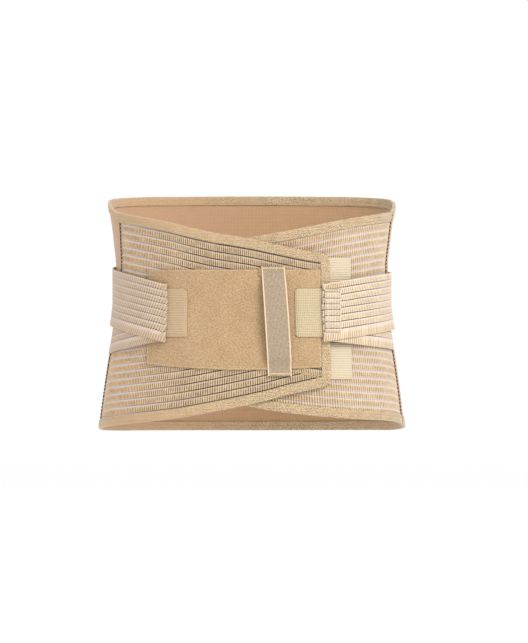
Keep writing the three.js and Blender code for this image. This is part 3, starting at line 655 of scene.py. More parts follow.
# %% Stitches
def seam_path(places, pitch):
    """Places at even steps along a line of true lengths and heights, and the line's direction there."""
    flat = np.asarray(places, float)
    run = np.concatenate([[0], np.cumsum(np.linalg.norm(np.diff(flat, axis=0), axis=-1))])
    at = np.arange(pitch / 2, run[-1], pitch)
    spots = np.stack([np.interp(at, run, flat[:, k]) for k in (0, 1)], axis=-1)
    ahead = np.stack([np.interp(at + 0.5, run, flat[:, k]) for k in (0, 1)], axis=-1)
    behind = np.stack([np.interp(at - 0.5, run, flat[:, k]) for k in (0, 1)], axis=-1)
    along = ahead - behind
    return spots, along / np.linalg.norm(along, axis=-1, keepdims=True)


def straight_stitches(places, pitch, length):
    """The middle, direction and length of each stitch of a straight line."""
    spots, along = seam_path(places, pitch)
    return [(spot, way, length) for spot, way in zip(spots, along)]


def zigzag_stitches(places, pitch, width):
    """The same for a zigzag, whose stitches swing over a width."""
    stitches = []
    for k, (spot, way) in enumerate(zip(*seam_path(places, pitch))):
        swing = np.array([-way[1], way[0]]) * width * (1 if k % 2 else -1)
        step = way * pitch + swing
        stitches.append((spot, step / np.linalg.norm(step), np.linalg.norm(step)))
    return stitches


def sew(name, stitches, thickness, lift, material, slot):
    """One piece that holds all stitches of a seam, given in true lengths."""
    bm = bmesh.new()
    for spot, way, length in stitches:
        turn = Matrix.Rotation(math.atan2(way[1], way[0]), 4, "Z")
        stretch = Matrix.Diagonal((length, thickness, thickness * 0.8, 1))
        place = Matrix.Translation((spot[0] / float(girth_ratio(spot[1])), spot[1], thickness * 0.2))
        shape = place @ turn @ stretch
        bmesh.ops.create_uvsphere(bm, u_segments=6, v_segments=4, radius=0.5, matrix=shape)
    print(name, "has", len(stitches), "stitches")
    return wear(name, bm, lift, material, slot)


# %% [markdown]
# ## The cut edges
# The belt is lower at the front than at the back, so its edges rise from the front overlap to the seams and
# run on round the back. A few places, in girth and height, draw each edge.

# %% Edges
def edge(*places):
    """A smooth cut edge through places, as the height at each girth."""
    girths, heights = zip(*places)
    return lambda girth: smooth_table(girths, heights, girth)


OUTER_TOP = edge(
    (-152, 57.5), (-110.2, 51.35), (-82.3, 45.8), (-63.7, 40.75), (-40.4, 35.3),
    (-3.2, 28.8), (29.4, 21.8), (54.9, 16.5), (80.5, 12.6),
)
OUTER_BOTTOM = edge(
    (-184, -172), (-128.5, -166.4), (-96.7, -163.2), (-72.9, -160.05), (-57, -157.1),
    (-20, -148.7), (11.7, -140.8), (32.9, -134.3), (51.4, -129.8), (80.5, -122.6),
)
INNER_TOP = edge((171, 59), (144.3, 56.4), (103, 50.4), (39.8, 37.5), (10.6, 32.1), (-72, 16))
INNER_BOTTOM = edge(
    (171, -167), (149.1, -163.7), (86, -159.1), (27.6, -152.2), (5.8, -147.9), (-72, -126),
)
BACK_TOP = edge(
    (171, 59), (180, 61.1), (195.7, 66.6), (233.9, 74.8), (305.7, 79), (395.5, 80),
    (492.9, 78.9), (570.8, 74.4), (612.2, 65.6), (629.3, 59.75), (639, 57.5),
)
BACK_BOTTOM = edge(
    (171, -167), (204.7, -172.5), (260.8, -176.4), (395.5, -178), (522.4, -177.1), (575.3, -175),
    (607, -172),
)
RIGHT_SEAM = ((-152, 57.5), (-184, -172))
LEFT_SEAM = ((171, -167), (171, 59))
OUTER_END = 80.5
INNER_END = -72
print("front overlap", OUTER_END - INNER_END, "mm wide")

# %% [markdown]
# ## Mesh panels
# Each front panel is two families of rows that lie at a slight angle: the upper rows follow the top edge
# and the lower rows the bottom edge, and they meet on a slanting seam that the patch and straps cover for
# the most part. So each family is a sheet of its own, cut along that seam. A thread has three columns, its
# crest between two edges, and every open row has a hole between two threads.

# %% Rows and threads
THREAD_WIDTH = 0.6  # of the pitch
THREAD_DEPTH = 0.45
STRAP_THREAD_DEPTH = 0.2
SHOULDER = 0.9
ROW_WALL = 1.3
CREST, GAP = 1, 2  # of the three columns of a thread, the crest and the one before a gap
ROW_LINES = 5  # lines for each open row: before it, its two edges, after it, and the rib's middle
ROW_START, ROW_FINISH, RIB_MIDDLE = 1, 2, 4


def thread_columns(start, end, pitch):
    """Three columns for each thread, with the crests at whole pitches."""
    crests = np.arange(math.ceil(start / pitch), end / pitch) * pitch
    return (crests[:, None] + np.array([-0.5, 0, 0.5]) * THREAD_WIDTH * pitch).ravel()


def rib_rows(first, pitch, depth):
    """Distances from the cut edge: the edge itself, then ROW_LINES of them for each open row."""
    rows = [0.0]
    for middle in np.arange(first, depth, pitch):
        half = ROW_HEIGHT / 2
        rows += [middle - half - SHOULDER, middle - half, middle + half, middle + half + SHOULDER]
        rows += [middle + pitch / 2]
    return np.array(rows)


def rib_relief(i, j, wall, depth):
    """How far the face stands off the underside, for columns and rows of mesh cloth."""
    part = (j - 1) % ROW_LINES
    in_row = (part == ROW_START) | (part == ROW_FINISH)
    crown = np.where(in_row, ROW_WALL, np.where(part == RIB_MIDDLE, wall, wall - 0.15))
    valley = np.where(in_row, 0.5, 1.0) * depth
    return crown - np.where(i % 3 == CREST, 0, valley)


def open_cell(i, j):
    """Whether a cell of mesh cloth is a hole."""
    return i % 3 == GAP and (j - 1) % ROW_LINES == ROW_START


def sized(places):
    """Places given in true lengths round the body, as girths."""
    return [(length / girth_ratio(height), height) for length, height in places]


def family(name, span, thread_pitch, rows, cuts, **piece):
    """One family of a panel's rows, and its flat area. Rows is a row of the tables below."""
    edge_line, downwards, first, pitch, depth = rows

    def place(x, distance, i, j):
        return x, edge_line(x) - downwards * distance, rib_relief(i, j, PANEL_WALL, THREAD_DEPTH)

    def counted(x, y):
        distance = downwards * (edge_line(x) - y)
        return x, -downwards * (distance - first) / pitch * ROW_STEP

    columns = thread_columns(*span, thread_pitch)
    bm, area = cut_cloth(columns, rib_rows(first, pitch, depth), place, cuts, open_cell)
    return wear(name, bm, thread_lengths=counted, **piece), area


def front_panel(name, families, ends, span, thread_pitch, flat, under, **piece):
    """Both families of a front panel, each with its own cuts besides the panel's ends."""
    for part, (*rows, cuts) in families.items():
        lines = [cut_line(*line) for line in [*cuts, *ends]]
        panel, area = family(
            f"{name}_{part}_rows", span, thread_pitch, rows, lines, slot="elastic_mesh", **piece
        )
        print(panel.name, "flat area", round(area), "mm2")


# %% [markdown]
# The tables give each family the edge that its rows follow, +1 where they are counted downwards from it,
# the distance to the first row, the distance from row to row, how deep the family reaches, and its cuts.

# %% Front panels
OUTER_FAMILY_SEAM = ((-180, -42.6), (90, -126.2))
outer_end_line = sized([(OUTER_END - 2, -124), (OUTER_END - 2, 14)])
outer_snip = sized([(OUTER_END - 7, -128), (OUTER_END, -116)])
outer_families = {
    "upper": (OUTER_TOP, 1, 10.4, 8.1, 142, [OUTER_FAMILY_SEAM]),
    "lower": (OUTER_BOTTOM, -1, 10.3, 7.7, 132, [OUTER_FAMILY_SEAM[::-1], outer_snip]),
}
front_panel(
    "outer_panel",
    outer_families,
    ends=(RIGHT_SEAM, outer_end_line),
    span=(-188, OUTER_END),
    thread_pitch=OUTER_PITCH,
    flat=(0.27, 0.145),
    under="front_panel_inner",
    lift=outer_lift,
    material=outer_mesh,
    replaced=["front_panel_outer"],
)

INNER_FAMILY_SEAM = ((-90, -126.2), (180, -48.0))
inner_end_line = sized([(INNER_END + 2, 18), (INNER_END + 2, -128)])
inner_snip = sized([(INNER_END, -116), (INNER_END + 7, -130)])
inner_families = {
    "upper": (INNER_TOP, 1, 9.05, 7.85, 146, [INNER_FAMILY_SEAM]),
    "lower": (INNER_BOTTOM, -1, 13.1, 7.66, 132, [INNER_FAMILY_SEAM[::-1], inner_snip]),
}
front_panel(
    "inner_panel",
    inner_families,
    ends=(LEFT_SEAM, inner_end_line),
    span=(INNER_END, 172),
    thread_pitch=INNER_PITCH,
    flat=(0.256, 0.145),
    under="back_panel",
    lift=on_skin,
    material=inner_mesh,
    replaced=["front_panel_inner"],
)

# %% [markdown]
# ## The back and side panel
# One piece of smooth knit runs from seam to seam round the back. Stretched between the hips and the ribs it
# shows long shallow waves across the hollow of the back, so its face gets a very low relief.

# %% Back panel
BACK_STEP = 5.0
LEFT_SIDE = LEFT_SEAM[0][0]
RIGHT_SIDE_TOP = 2 * HALF_GIRTH + RIGHT_SEAM[0][0]
RIGHT_SIDE_BOTTOM = 2 * HALF_GIRTH + RIGHT_SEAM[1][0]


def back_place(share, up, i, j):
    """The right seam slants, so the columns spread between the two seams."""
    right = RIGHT_SIDE_TOP + (RIGHT_SIDE_BOTTOM - RIGHT_SIDE_TOP) * (1 - up)
    x = LEFT_SIDE + 0.2 + share * (right - LEFT_SIDE - 0.4)
    y = BACK_BOTTOM(x) + up * (BACK_TOP(x) - BACK_BOTTOM(x))
    waves = 0.12 * np.sin(y / 7 + 1.5 * np.sin(x / 60)) * smooth_step(70, 170, np.abs(x - LEFT_SIDE))
    return x, y, BACK_WALL - 0.12 + waves


shares = np.linspace(0, 1, round((RIGHT_SIDE_BOTTOM - LEFT_SIDE) / BACK_STEP) + 1)
levels = np.linspace(0, 1, round((BELT_RISE + BELT_DROP) / BACK_STEP) + 1)
bm, area = cut_cloth(shares, levels, back_place)
back = wear("back_and_side_panel", bm, on_skin, back_knit, "back_knit", ["back_panel"])
print("back flat area", round(area), "mm2")

# %% [markdown]
# ## The binding
# Every free edge is wrapped in folded knit tape. Its section is a U: an outer leg that is pulled down along
# its stitch line and puffs up beside it, the fold round the cloth's edge, and an inner leg against the
# body. The section is swept along the outline, which is known in true lengths, and keeps its width there.
# A line of short stitches holds it down.

# %% Binding
BINDING_WIDTH = 9
CORNER = BINDING_WIDTH + 1
BINDING_STEP = 3.0
STITCH_IN = 7.3  # how far from the edge the tape is stitched
TAPE_STITCH = (2.9, 2.0)  # of each kind of stitch, the pitch and the length
SEAM_STITCH = (4.0, 3.6)


def true_lengths(places):
    """Girths and heights as true lengths along the cloth."""
    return np.stack([places[:, 0] * girth_ratio(places[:, 1]), places[:, 1]], axis=-1)


def along_edge(edge_line, start, end):
    """Places along a cut edge."""
    girths = np.linspace(start, end, max(2, round(abs(end - start) / BINDING_STEP)))
    return np.stack([girths, edge_line(girths)], axis=-1)


def round_end(top_line, bottom_line, end, towards):
    """Places along both edges of a panel and round the two corners of its upright end, in true lengths."""
    path = []
    for edge_line, side in ((top_line, 1), (bottom_line, -1)):
        girth = (end - towards * CORNER) / girth_ratio(edge_line(end))
        height = edge_line(girth)
        centre = np.array([end - towards * CORNER, height - side * CORNER])
        slope = math.atan2(edge_line(girth + towards) - height, 1.0)
        turn = np.linspace(math.pi / 2 + side * slope, 0, 7)
        path.append(np.stack([towards * np.cos(turn), side * np.sin(turn)], axis=-1) * CORNER + centre)
    upper, lower = path
    steps = round((upper[-1, 1] - lower[-1, 1]) / BINDING_STEP)
    straight = upper[-1] + np.linspace(0, 1, steps)[1:-1, None] * (lower[-1] - upper[-1])
    return np.concatenate([upper, straight, lower[::-1]])


def tape_section(wall):
    """The folded tape's outer and inner faces, as reach from the edge and distance off the underside."""
    fold = LAYER_GAP + BINDING_WALL
    outer = [(9.0, wall + 0.62), (8.5, wall + 0.9), (STITCH_IN, wall + 0.72), (6.2, wall + 1.02)]
    outer += [(3.2, wall + 1.08), (0.4, wall + 0.98)]
    inner = [(reach, height - BINDING_WALL) for reach, height in outer]
    for angle in (50, 0, -50):
        turned = math.radians(angle)
        outer.append((-fold * math.cos(turned), wall / 2 + (wall / 2 + fold) * math.sin(turned)))
        inner.append((-LAYER_GAP * math.cos(turned), wall / 2 + (wall / 2 + LAYER_GAP) * math.sin(turned)))
    outer += [(0.4, -fold), (4.5, -fold), (9.0, -fold)]
    inner += [(0.4, -LAYER_GAP), (4.5, -LAYER_GAP), (9.0, -LAYER_GAP)]
    return np.array(outer), np.array(inner)


def inwards(outline):
    """At each place of an outline, the direction into the cloth, which lies on its right."""
    steps = np.diff(outline, axis=0)
    tangents = np.concatenate([steps[:1], steps[:-1] + steps[1:], steps[-1:]])
    tangents /= np.linalg.norm(tangents, axis=-1, keepdims=True)
    return np.stack([tangents[:, 1], -tangents[:, 0]], axis=-1)


def binding(name, outline, lift, wall, replaced):
    """Folded tape along an outline in true lengths, which has the cloth on its right."""
    outer, inner = tape_section(wall)
    inward = inwards(outline)
    bm = bmesh.new()
    bmesh.ops.create_grid(bm, x_segments=len(outline) - 1, y_segments=len(outer) - 1, size=0.5)
    column = bm.verts.layers.int.new("column")
    row = bm.verts.layers.int.new("row")
    for vert in bm.verts:
        vert[column] = round((vert.co.x + 0.5) * (len(outline) - 1))
        vert[row] = round((vert.co.y + 0.5) * (len(outer) - 1))
    made = bmesh.ops.extrude_face_region(bm, geom=bm.faces[:])["geom"]
    inside = {vert for vert in made if isinstance(vert, bmesh.types.BMVert)}
    for vert in bm.verts:
        i = vert[column]
        reach, height = (inner if vert in inside else outer)[vert[row]]
        spot = outline[i] + inward[i] * reach
        vert.co = (spot[0] / girth_ratio(spot[1]), spot[1], height)
    bmesh.ops.recalc_face_normals(bm, faces=bm.faces[:])
    piece = wear(name, bm, lift, binding_knit, "edge_binding", replaced)

    def on_tape(girth, height):
        return lift(girth, height) + wall + 0.75

    stitches = straight_stitches(outline + inward * STITCH_IN, *TAPE_STITCH)
    sew(name + "_stitches", stitches, 0.75, on_tape, cream_thread, "edge_binding")


def panel_outline(top_line, bottom_line, seam_top, seam_bottom, end, towards):
    """The bound outline of a front panel, from its seam's top round its end to the seam's bottom."""
    turning = round_end(top_line, bottom_line, end, towards)
    upper = true_lengths(along_edge(top_line, seam_top, turning[0, 0] / girth_ratio(turning[0, 1])))
    lower = true_lengths(along_edge(bottom_line, turning[-1, 0] / girth_ratio(turning[-1, 1]), seam_bottom))
    return np.concatenate([upper[:-1], turning, lower[1:]])


right_top, right_bottom = RIGHT_SEAM[0][0], RIGHT_SEAM[1][0]
outer_outline = panel_outline(OUTER_TOP, OUTER_BOTTOM, right_top, right_bottom, OUTER_END, 1)
inner_outline = panel_outline(INNER_TOP, INNER_BOTTOM, LEFT_SIDE, LEFT_SIDE, INNER_END, -1)[::-1]
binding("outer_panel_binding", outer_outline, outer_lift, PANEL_WALL, ["binding_front_outer"])
binding("inner_panel_binding", inner_outline, on_skin, PANEL_WALL, ["binding_front_inner"])
back_top_line = true_lengths(along_edge(BACK_TOP, LEFT_SIDE + 0.3, RIGHT_SIDE_TOP - 0.3))
back_bottom_line = true_lengths(along_edge(BACK_BOTTOM, RIGHT_SIDE_BOTTOM - 0.3, LEFT_SIDE + 0.3))
binding("back_top_binding", back_top_line, on_skin, BACK_WALL, ["binding_back_top"])
binding("back_bottom_binding", back_bottom_line, on_skin, BACK_WALL, ["binding_back_bottom"])

# %% [markdown]
# ## Seams
# The front panels are sewn to the back panel with long stitches of brown thread, coloured almost black as
# painted shade of the seam's groove. Below the patch a zigzag in the cloth's own colour joins the two
# families of rows.

# %% Side seams
def on_panel_face(girth, height):
    """The lift of what is sewn on a front panel's face."""
    return outer_lift(girth, height) + PANEL_WALL


def over_seam(girth, height):
    """The lift of the stitches that cross from a front panel to the back panel."""
    return BACK_WALL + 0 * girth


RIGHT_STITCHING = ((-150.4, 48), (-184, -172))  # it starts below the binding and keeps to the seam
seam_shares = np.linspace(0, 1, 60)[:, None]
for side_name, (start, end) in (("right", RIGHT_STITCHING), ("left", LEFT_SEAM)):
    line = true_lengths(np.array(start) + seam_shares * (np.array(end) - np.array(start)))
    stitches = straight_stitches(line, *SEAM_STITCH)
    sew(f"{side_name}_side_seam", stitches, 1.5, over_seam, brown_thread_and_groove_shade, "elastic_mesh")

family_line = true_lengths(np.array([(28, -107.0), (76, -121.9)]))
family_stitches = zigzag_stitches(family_line, 1.6, 2.4)
sew("row_family_zigzag", family_stitches, 0.7, on_panel_face, cream_thread, "elastic_mesh")

# %% [markdown]
# ## The velour patch
# The patch is sewn flat on the outer panel. The stiff hook tabs and the finger loop have pressed it, so it
# has two upright creases and shallow hollows, and its edges are rolled under by their stitches. Its lower
# edge falls a little and sags in the middle.

# %% Patch
PATCH_START = -111.5
PATCH_END = OUTER_END - BINDING_WIDTH - 0.2
PATCH_TOP = -3
PATCH_BOTTOM = -104
PATCH_FALL = 3
PATCH_SAG = 4
CREASES = (48.5, 61.5)


def rolled(inset, radius):
    """How far a rolled edge has sunk at a distance in from it."""
    into = np.clip(radius - inset, 0, radius)
    return radius - np.sqrt(radius**2 - into**2)


def patch_bottom(length):
    """The patch's lower edge at a true length."""
    share = (length - PATCH_START) / (PATCH_END - PATCH_START)
    return PATCH_BOTTOM - PATCH_FALL * share - PATCH_SAG * np.sin(math.pi * share)


def edge_distance(*distances):
    """The distance to the nearest edge, from the distances to all of them."""
    return np.minimum.reduce(np.broadcast_arrays(*distances))


def patch_place(along, up, i, j):
    """The patch's cloth between its edges, with its hollows, creases and rolled rim."""
    length = PATCH_START + along * (PATCH_END - PATCH_START)
    bottom = patch_bottom(length)
    y = bottom + up * (PATCH_TOP - bottom)
    inset = edge_distance(length - PATCH_START, PATCH_END - length, y - bottom, PATCH_TOP - y)
    hollows = 0.12 * np.sin(length / 13 + 1.3 * np.sin(y / 19)) * np.sin(y / 15 + 0.6)
    creases = sum(0.3 * np.exp(-(((length - at - y * 0.02) / 1.6) ** 2)) for at in CREASES)
    face = PATCH_WALL - 0.1 + hollows - creases
    return length / girth_ratio(y), y, face - rolled(inset, 0.9)


def with_fine_ends(length, step, fine):
    """Shares of a length at even steps, and finer ones at its two ends for a rolled edge."""
    ends = np.array(fine) / length
    inner_steps = np.linspace(ends[-1], 1 - ends[-1], max(2, round(length / step)))
    return np.concatenate([ends[:-1], inner_steps, 1 - ends[:-1][::-1]])


ROLLED_EDGE = (0.0, 0.25, 0.6, 1.2)
patch_columns = with_fine_ends(PATCH_END - PATCH_START, 1.8, ROLLED_EDGE)
patch_rows = with_fine_ends(PATCH_TOP - PATCH_BOTTOM, 3.0, ROLLED_EDGE)
bm, area = cut_cloth(patch_columns, patch_rows, patch_place)
patch = wear("velour_patch", bm, patch_lift, patch_velour, "velour", ["loop_fastener_patch"])


# %% Patch border
def on_pile(girth, height):
    """The lift of what is sewn on the patch's face."""
    return patch_lift(girth, height) + PATCH_WALL - 0.2


PATCH_STITCH_IN = 1.5
low_lengths = np.linspace(PATCH_START + PATCH_STITCH_IN, PATCH_END - PATCH_STITCH_IN, 40)
low_line = np.stack([low_lengths, patch_bottom(low_lengths) + PATCH_STITCH_IN], axis=-1)
top_left = (PATCH_START + PATCH_STITCH_IN, PATCH_TOP - PATCH_STITCH_IN)
top_right = (PATCH_END - PATCH_STITCH_IN, PATCH_TOP - PATCH_STITCH_IN)
border = np.concatenate([[top_left], low_line, [top_right], [top_left]])
sew("patch_border", straight_stitches(border, 2.3, 1.7), 0.7, on_pile, cream_thread, "velour")

# %% [markdown]
# ## Hook tabs
# Four tabs of moulded hook tape. Two are sewn under the end of the outer panel and close the front. Two end
# the straps, and hold on the velour. Each is a flat tape with cut corners and a thin rim.

# %% Tabs
MOULDED_RIM = (0.0, 0.3, 0.9, 1.3)


def tab(name, span, top, bottom, lift, material, replaced, snips=(), slant=0.0):
    """A piece of tape between two true lengths. Snips cut its corners; slant leans its first end."""
    start, end = span

    def place(along, up, i, j):
        y = bottom + up * (top - bottom)
        first = start + slant * (top - y)
        length = first + along * (end - first)
        inset = edge_distance(length - first, end - length, y - bottom, top - y)
        rim = TAB_WALL - 0.25 * smooth_step(1.3, 0.9, inset) - rolled(inset, 0.3)
        return length / girth_ratio(y), y, rim

    cuts = [cut_line(*sized(snip)) for snip in snips]
    columns = with_fine_ends(end - start, 3.0, MOULDED_RIM)
    rows = with_fine_ends(top - bottom, 4.0, MOULDED_RIM)
    bm, area = cut_cloth(columns, rows, place, cuts)
    piece = wear(name, bm, lift, material, "hook_tape", replaced)


def under_end(girth, height):
    """The closure tabs lie on the inner panel."""
    return PANEL_WALL + LAYER_GAP + 0 * girth


def snip_corners(length, top, bottom, size, side):
    """The two cuts that take the corners off a tab's free end. Side is +1 where the end is at its right."""
    upper = [(length, top - size), (length - side * size, top)]
    lower = [(length - side * size, bottom), (length, bottom + size)]
    return [upper, lower] if side > 0 else [upper[::-1], lower[::-1]]


CLOSURE_SPAN = (OUTER_END - 14, OUTER_END + 26.5)
for level, top, bottom in (("upper", 10, -27), ("lower", -81, -119)):
    snips = snip_corners(CLOSURE_SPAN[1], top, bottom, 1.5, 1)
    name = f"closure_tab_{level}"
    tab(name, CLOSURE_SPAN, top, bottom, under_end, ridged_hooks, [f"closure_hook_tab_{level}"], snips)

TAB_TOP, TAB_BOTTOM = -23.1, -75.1
upper_snip = snip_corners(-66.5, TAB_TOP, TAB_BOTTOM, 3.5, 1)[:1]
lower_snip = snip_corners(-66, TAB_TOP, TAB_BOTTOM, 1.5, 1)[1:]
right_tab = ("right_strap_tab", (-97.5, -66), TAB_TOP, TAB_BOTTOM, on_patch, plain_hooks)
tab(*right_tab, ["right_strap_hook_tab"], upper_snip + lower_snip)
left_snips = snip_corners(44.5, TAB_TOP, TAB_BOTTOM, 2.5, -1)
left_tab = ("left_strap_tab", (44.5, 82), TAB_TOP, TAB_BOTTOM, on_patch, gridded_hooks)
tab(*left_tab, ["left_strap_hook_tab"], left_snips)

# %% [markdown]
# ## The finger loop
# A strip of grey-beige webbing with corded cream selvedges, sewn down at both ends over the patch with a
# bar of dense stitches. It stands off between them, so that fingers go behind it. Its folded cream end
# shows beside its top, coloured a darker beige that holds painted shade.

# %% Finger loop
LOOP_TOP = 0
LOOP_LENGTH = 116
LOOP_START = 10
LOOP_LEAN = 6.5
LOOP_SEWN = 7
LOOP_BULGE = 9
LOOP_TURN_UP = 0.12
HEM_HEIGHT = 9


def loop_lift(girth, height):
    """Sewn at its ends, standing off the patch between them, and riding over its own hem at the top."""
    free = np.clip((height - LOOP_TOP + LOOP_LENGTH - LOOP_SEWN) / (LOOP_LENGTH - 2 * LOOP_SEWN), 0, 1)
    near_hem = smooth_step(LOOP_TOP - 3 * HEM_HEIGHT, LOOP_TOP - HEM_HEIGHT, height)
    over_hem = (TAB_WALL + LAYER_GAP) * near_hem
    turn_up = smooth_step(0, LOOP_TURN_UP, free) * smooth_step(0, LOOP_TURN_UP, 1 - free)
    return on_patch(girth, height) + over_hem + LOOP_BULGE * np.sqrt(np.sin(math.pi * free)) * turn_up


def loop_start(y):
    """Where the loop's nearer edge is at a height, in true length."""
    return LOOP_START + LOOP_LEAN * (LOOP_TOP - y) / LOOP_LENGTH


def loop_place(across, up, i, j):
    """The webbing between its corded selvedges."""
    y = LOOP_TOP - LOOP_LENGTH + up * LOOP_LENGTH
    from_edge = np.minimum(across, LOOP_WIDTH - across)
    cord = 0.3 * np.sin(math.pi * np.clip(from_edge / SELVEDGE, 0, 1))
    face = WEBBING_WALL - 0.25 + cord - rolled(from_edge, 0.4)
    return (loop_start(y) + across) / girth_ratio(y), y, face


def loop_threads(x, y):
    """U from the loop's own edge, so that the selvedges lie along it."""
    return x * girth_ratio(y) - loop_start(y), y


selvedge = np.array([0, 0.15, 0.4, 0.75, 1.1, SELVEDGE])
loop_columns = np.concatenate([selvedge, np.linspace(3, LOOP_WIDTH - 3, 10), LOOP_WIDTH - selvedge[::-1]])
bm, area = cut_cloth(loop_columns, np.linspace(0, 1, 73), loop_place)
strip = wear("webbing_loop", bm, loop_lift, loop_webbing, "webbing", ["finger_loop"], loop_threads)


def hem_place(across, up, i, j):
    """The folded end, a little to one side of the webbing."""
    y = LOOP_TOP - 1 - HEM_HEIGHT + up * HEM_HEIGHT
    inset = edge_distance(across, LOOP_WIDTH - across, up * HEM_HEIGHT, (1 - up) * HEM_HEIGHT)
    return (LOOP_START - 3 + across) / girth_ratio(y), y, TAB_WALL - rolled(inset, 0.4)


FOLDED_RIM = (0.0, 0.15, 0.4)
hem_columns = with_fine_ends(LOOP_WIDTH, 3.0, FOLDED_RIM) * LOOP_WIDTH
bm, area = cut_cloth(hem_columns, with_fine_ends(HEM_HEIGHT, 2.0, FOLDED_RIM), hem_place)
# the hem's darker beige holds painted shade
hem = wear("webbing_loop_hem", bm, on_patch, beige_hem_with_shade, "webbing", ["finger_loop_hem"])


# %% Bars of stitches on the loop
def on_webbing(girth, height):
    """The lift of what is sewn on the webbing's face."""
    return loop_lift(girth, height) + WEBBING_WALL - 0.1


def bar(y):
    """A dense zigzag bar across the loop at a height."""
    left = loop_start(y) + 0.6
    return zigzag_stitches([(left, y), (left + LOOP_WIDTH - 1.2, y)], 0.95, 2.6)


CROSS_AT = (25.2, -3.4)
cross = [(CROSS_AT, (0.6, 0.8), 5.0), (CROSS_AT, (-0.6, 0.8), 5.0)]
bars = bar(LOOP_TOP - 1.8) + bar(LOOP_TOP - LOOP_LENGTH + 2.2) + cross
sew("webbing_loop_bars", bars, 0.9, on_webbing, cream_thread, "webbing")

# %% [markdown]
# ## The straps
# Each strap is two bands of narrow mesh elastic that are sewn together at the tab and fan out towards the
# back. The rows of each band run along it, so the upper band's rows slope against the lower band's. The
# lower bands are caught in the side seams. The upper bands run on over the back panel.

# %% Straps
STRAP_WIDTH = 61.5
STRAP_MIDDLE = -49.1
STRAP_BACK = 240
STRAP_SETTLE = 46
STRAP_SEWN = 8
STRAP_LEVEL_OFF = 160
STRAP_PAST_SEAM = 198
STRAP_ROWS = (11.2, 7.3)  # from the band's lower edge to its first row, and from row to row


def strap_lift(side, end, layer):
    """The lift of a layer of a strap, which comes down from the patch to the panel behind its tab."""

    def lift(girth, height):
        down = smooth_step(0, STRAP_SETTLE, side * (girth - end) - STRAP_SEWN)
        on_tab = on_patch(girth, height) + TAB_WALL + LAYER_GAP
        on_panel = BACK_WALL + 2 * LAYER_GAP
        on_lower = 1 - smooth_step(STRAP_PAST_SEAM, STRAP_BACK, side * girth)
        return on_tab + (on_panel - on_tab) * down + layer * (STRAP_WALL + LAYER_GAP) * on_lower

    return lift


def climb(slope, length):
    """How far an upper band has risen at a length from its end. It climbs ever less and then runs level."""
    along = np.minimum(length, STRAP_LEVEL_OFF)
    return slope * along * (1 - along / (2 * STRAP_LEVEL_OFF))


def sway(x, thread_pitch, swing):
    """How far the rows swing: up across the gap from thread to thread and back down on each thread."""
    turns_at = (0, THREAD_WIDTH / 2, 1 - THREAD_WIDTH / 2, 1)
    return swing * np.interp(x / thread_pitch % 1, turns_at, (0, -1, 1, 0))


def strap_band(name, side, end, rise, back_line, weave, layer, material, node):
    """One band, whose rows follow its rise. Its weave is its thread pitch, its lean and its swing."""
    first, pitch = STRAP_ROWS
    thread_pitch, lean, swing = weave

    def lower(x):
        return STRAP_MIDDLE - STRAP_WIDTH / 2 + rise(side * (x - end))

    rows = [0.0, *rib_rows(first, pitch, STRAP_WIDTH - 5)[1:-1], STRAP_WIDTH - 1.0, STRAP_WIDTH]

    def place(x, distance, i, j):
        leant = x + lean * (distance - STRAP_WIDTH / 2)
        relief = rib_relief(i, j, STRAP_WALL, STRAP_THREAD_DEPTH)
        rim = np.minimum(distance, STRAP_WIDTH - distance)
        swung = lower(leant) + distance + np.where(rim < 3, 0, sway(x, thread_pitch, swing))
        return leant, swung, np.where(rim < 0.9, STRAP_WALL - 0.3, relief)

    def counted(x, y):
        upright = x - lean * (y - lower(x) - STRAP_WIDTH / 2)
        distance = y - lower(x) - sway(upright, thread_pitch, swing)
        return upright, np.maximum(distance - first, -pitch / 2) / pitch * ROW_STEP

    span = sorted((side * (abs(end) - 40), side * (STRAP_BACK + 25)))
    tip = sized([(end, -110), (end, 10)])
    near_cut = cut_line(*tip[::-1]) if side > 0 else cut_line(*tip)
    columns = thread_columns(*span, thread_pitch)
    bm, area = cut_cloth(columns, np.array(rows), place, [near_cut, cut_line(*back_line)], open_cell)
    band = wear(name, bm, strap_lift(side, end, layer), material, "strap_mesh", [node], counted)


LEFT_BACK = ((STRAP_BACK, -150), (STRAP_BACK, 60))
RIGHT_BACK = ((-STRAP_BACK, 60), (-STRAP_BACK, -150))
LEFT_WEAVE = (LEFT_STRAP_PITCH, 0.25, 0.15)
RIGHT_WEAVE = (RIGHT_STRAP_PITCH, 0.3, 0.75)
LEFT_TIP, RIGHT_TIP = 74, -89.5
straps = {
    "left": (1, LEFT_TIP, -0.09, 0.18, LEFT_SEAM, LEFT_BACK, LEFT_WEAVE, left_strap_mesh),
    "right": (-1, RIGHT_TIP, -0.16, 0.26, RIGHT_SEAM, RIGHT_BACK, RIGHT_WEAVE, right_strap_mesh),
}
for side_name, (side, tip, fall, rise, seam, back_line, weave, material) in straps.items():
    bands = {
        "lower": (lambda length: fall * length, seam, weave, 0),
        "upper": (lambda length: climb(rise, length), back_line, weave, 1),
    }
    for level, band in bands.items():
        name = f"{side_name}_strap_{level}"
        strap_band(name, side, tip, *band, material, name + "_band")

# %% [markdown]
# The end of the left strap is folded over and sewn down as a small flap. Its rows run level, while the rows
# of the band under it slope.

# %% Folded flap of the left strap
FLAP_START, FLAP_END = 73.8, 90.5
FLAP_TOP, FLAP_BOTTOM = -24, -70
FLAP_ROWS = (3.6, 6.6)
FLAP_PITCH = 1.65


def flap_place(x, distance, i, j):
    """The flap hangs level, and its rim is pressed flat."""
    height = FLAP_BOTTOM + distance
    rim = np.minimum(distance, FLAP_TOP - FLAP_BOTTOM - distance)
    relief = rib_relief(i, j, STRAP_WALL, STRAP_THREAD_DEPTH)
    return x / girth_ratio(height), height, np.where(rim < 0.7, STRAP_WALL - 0.5, relief)


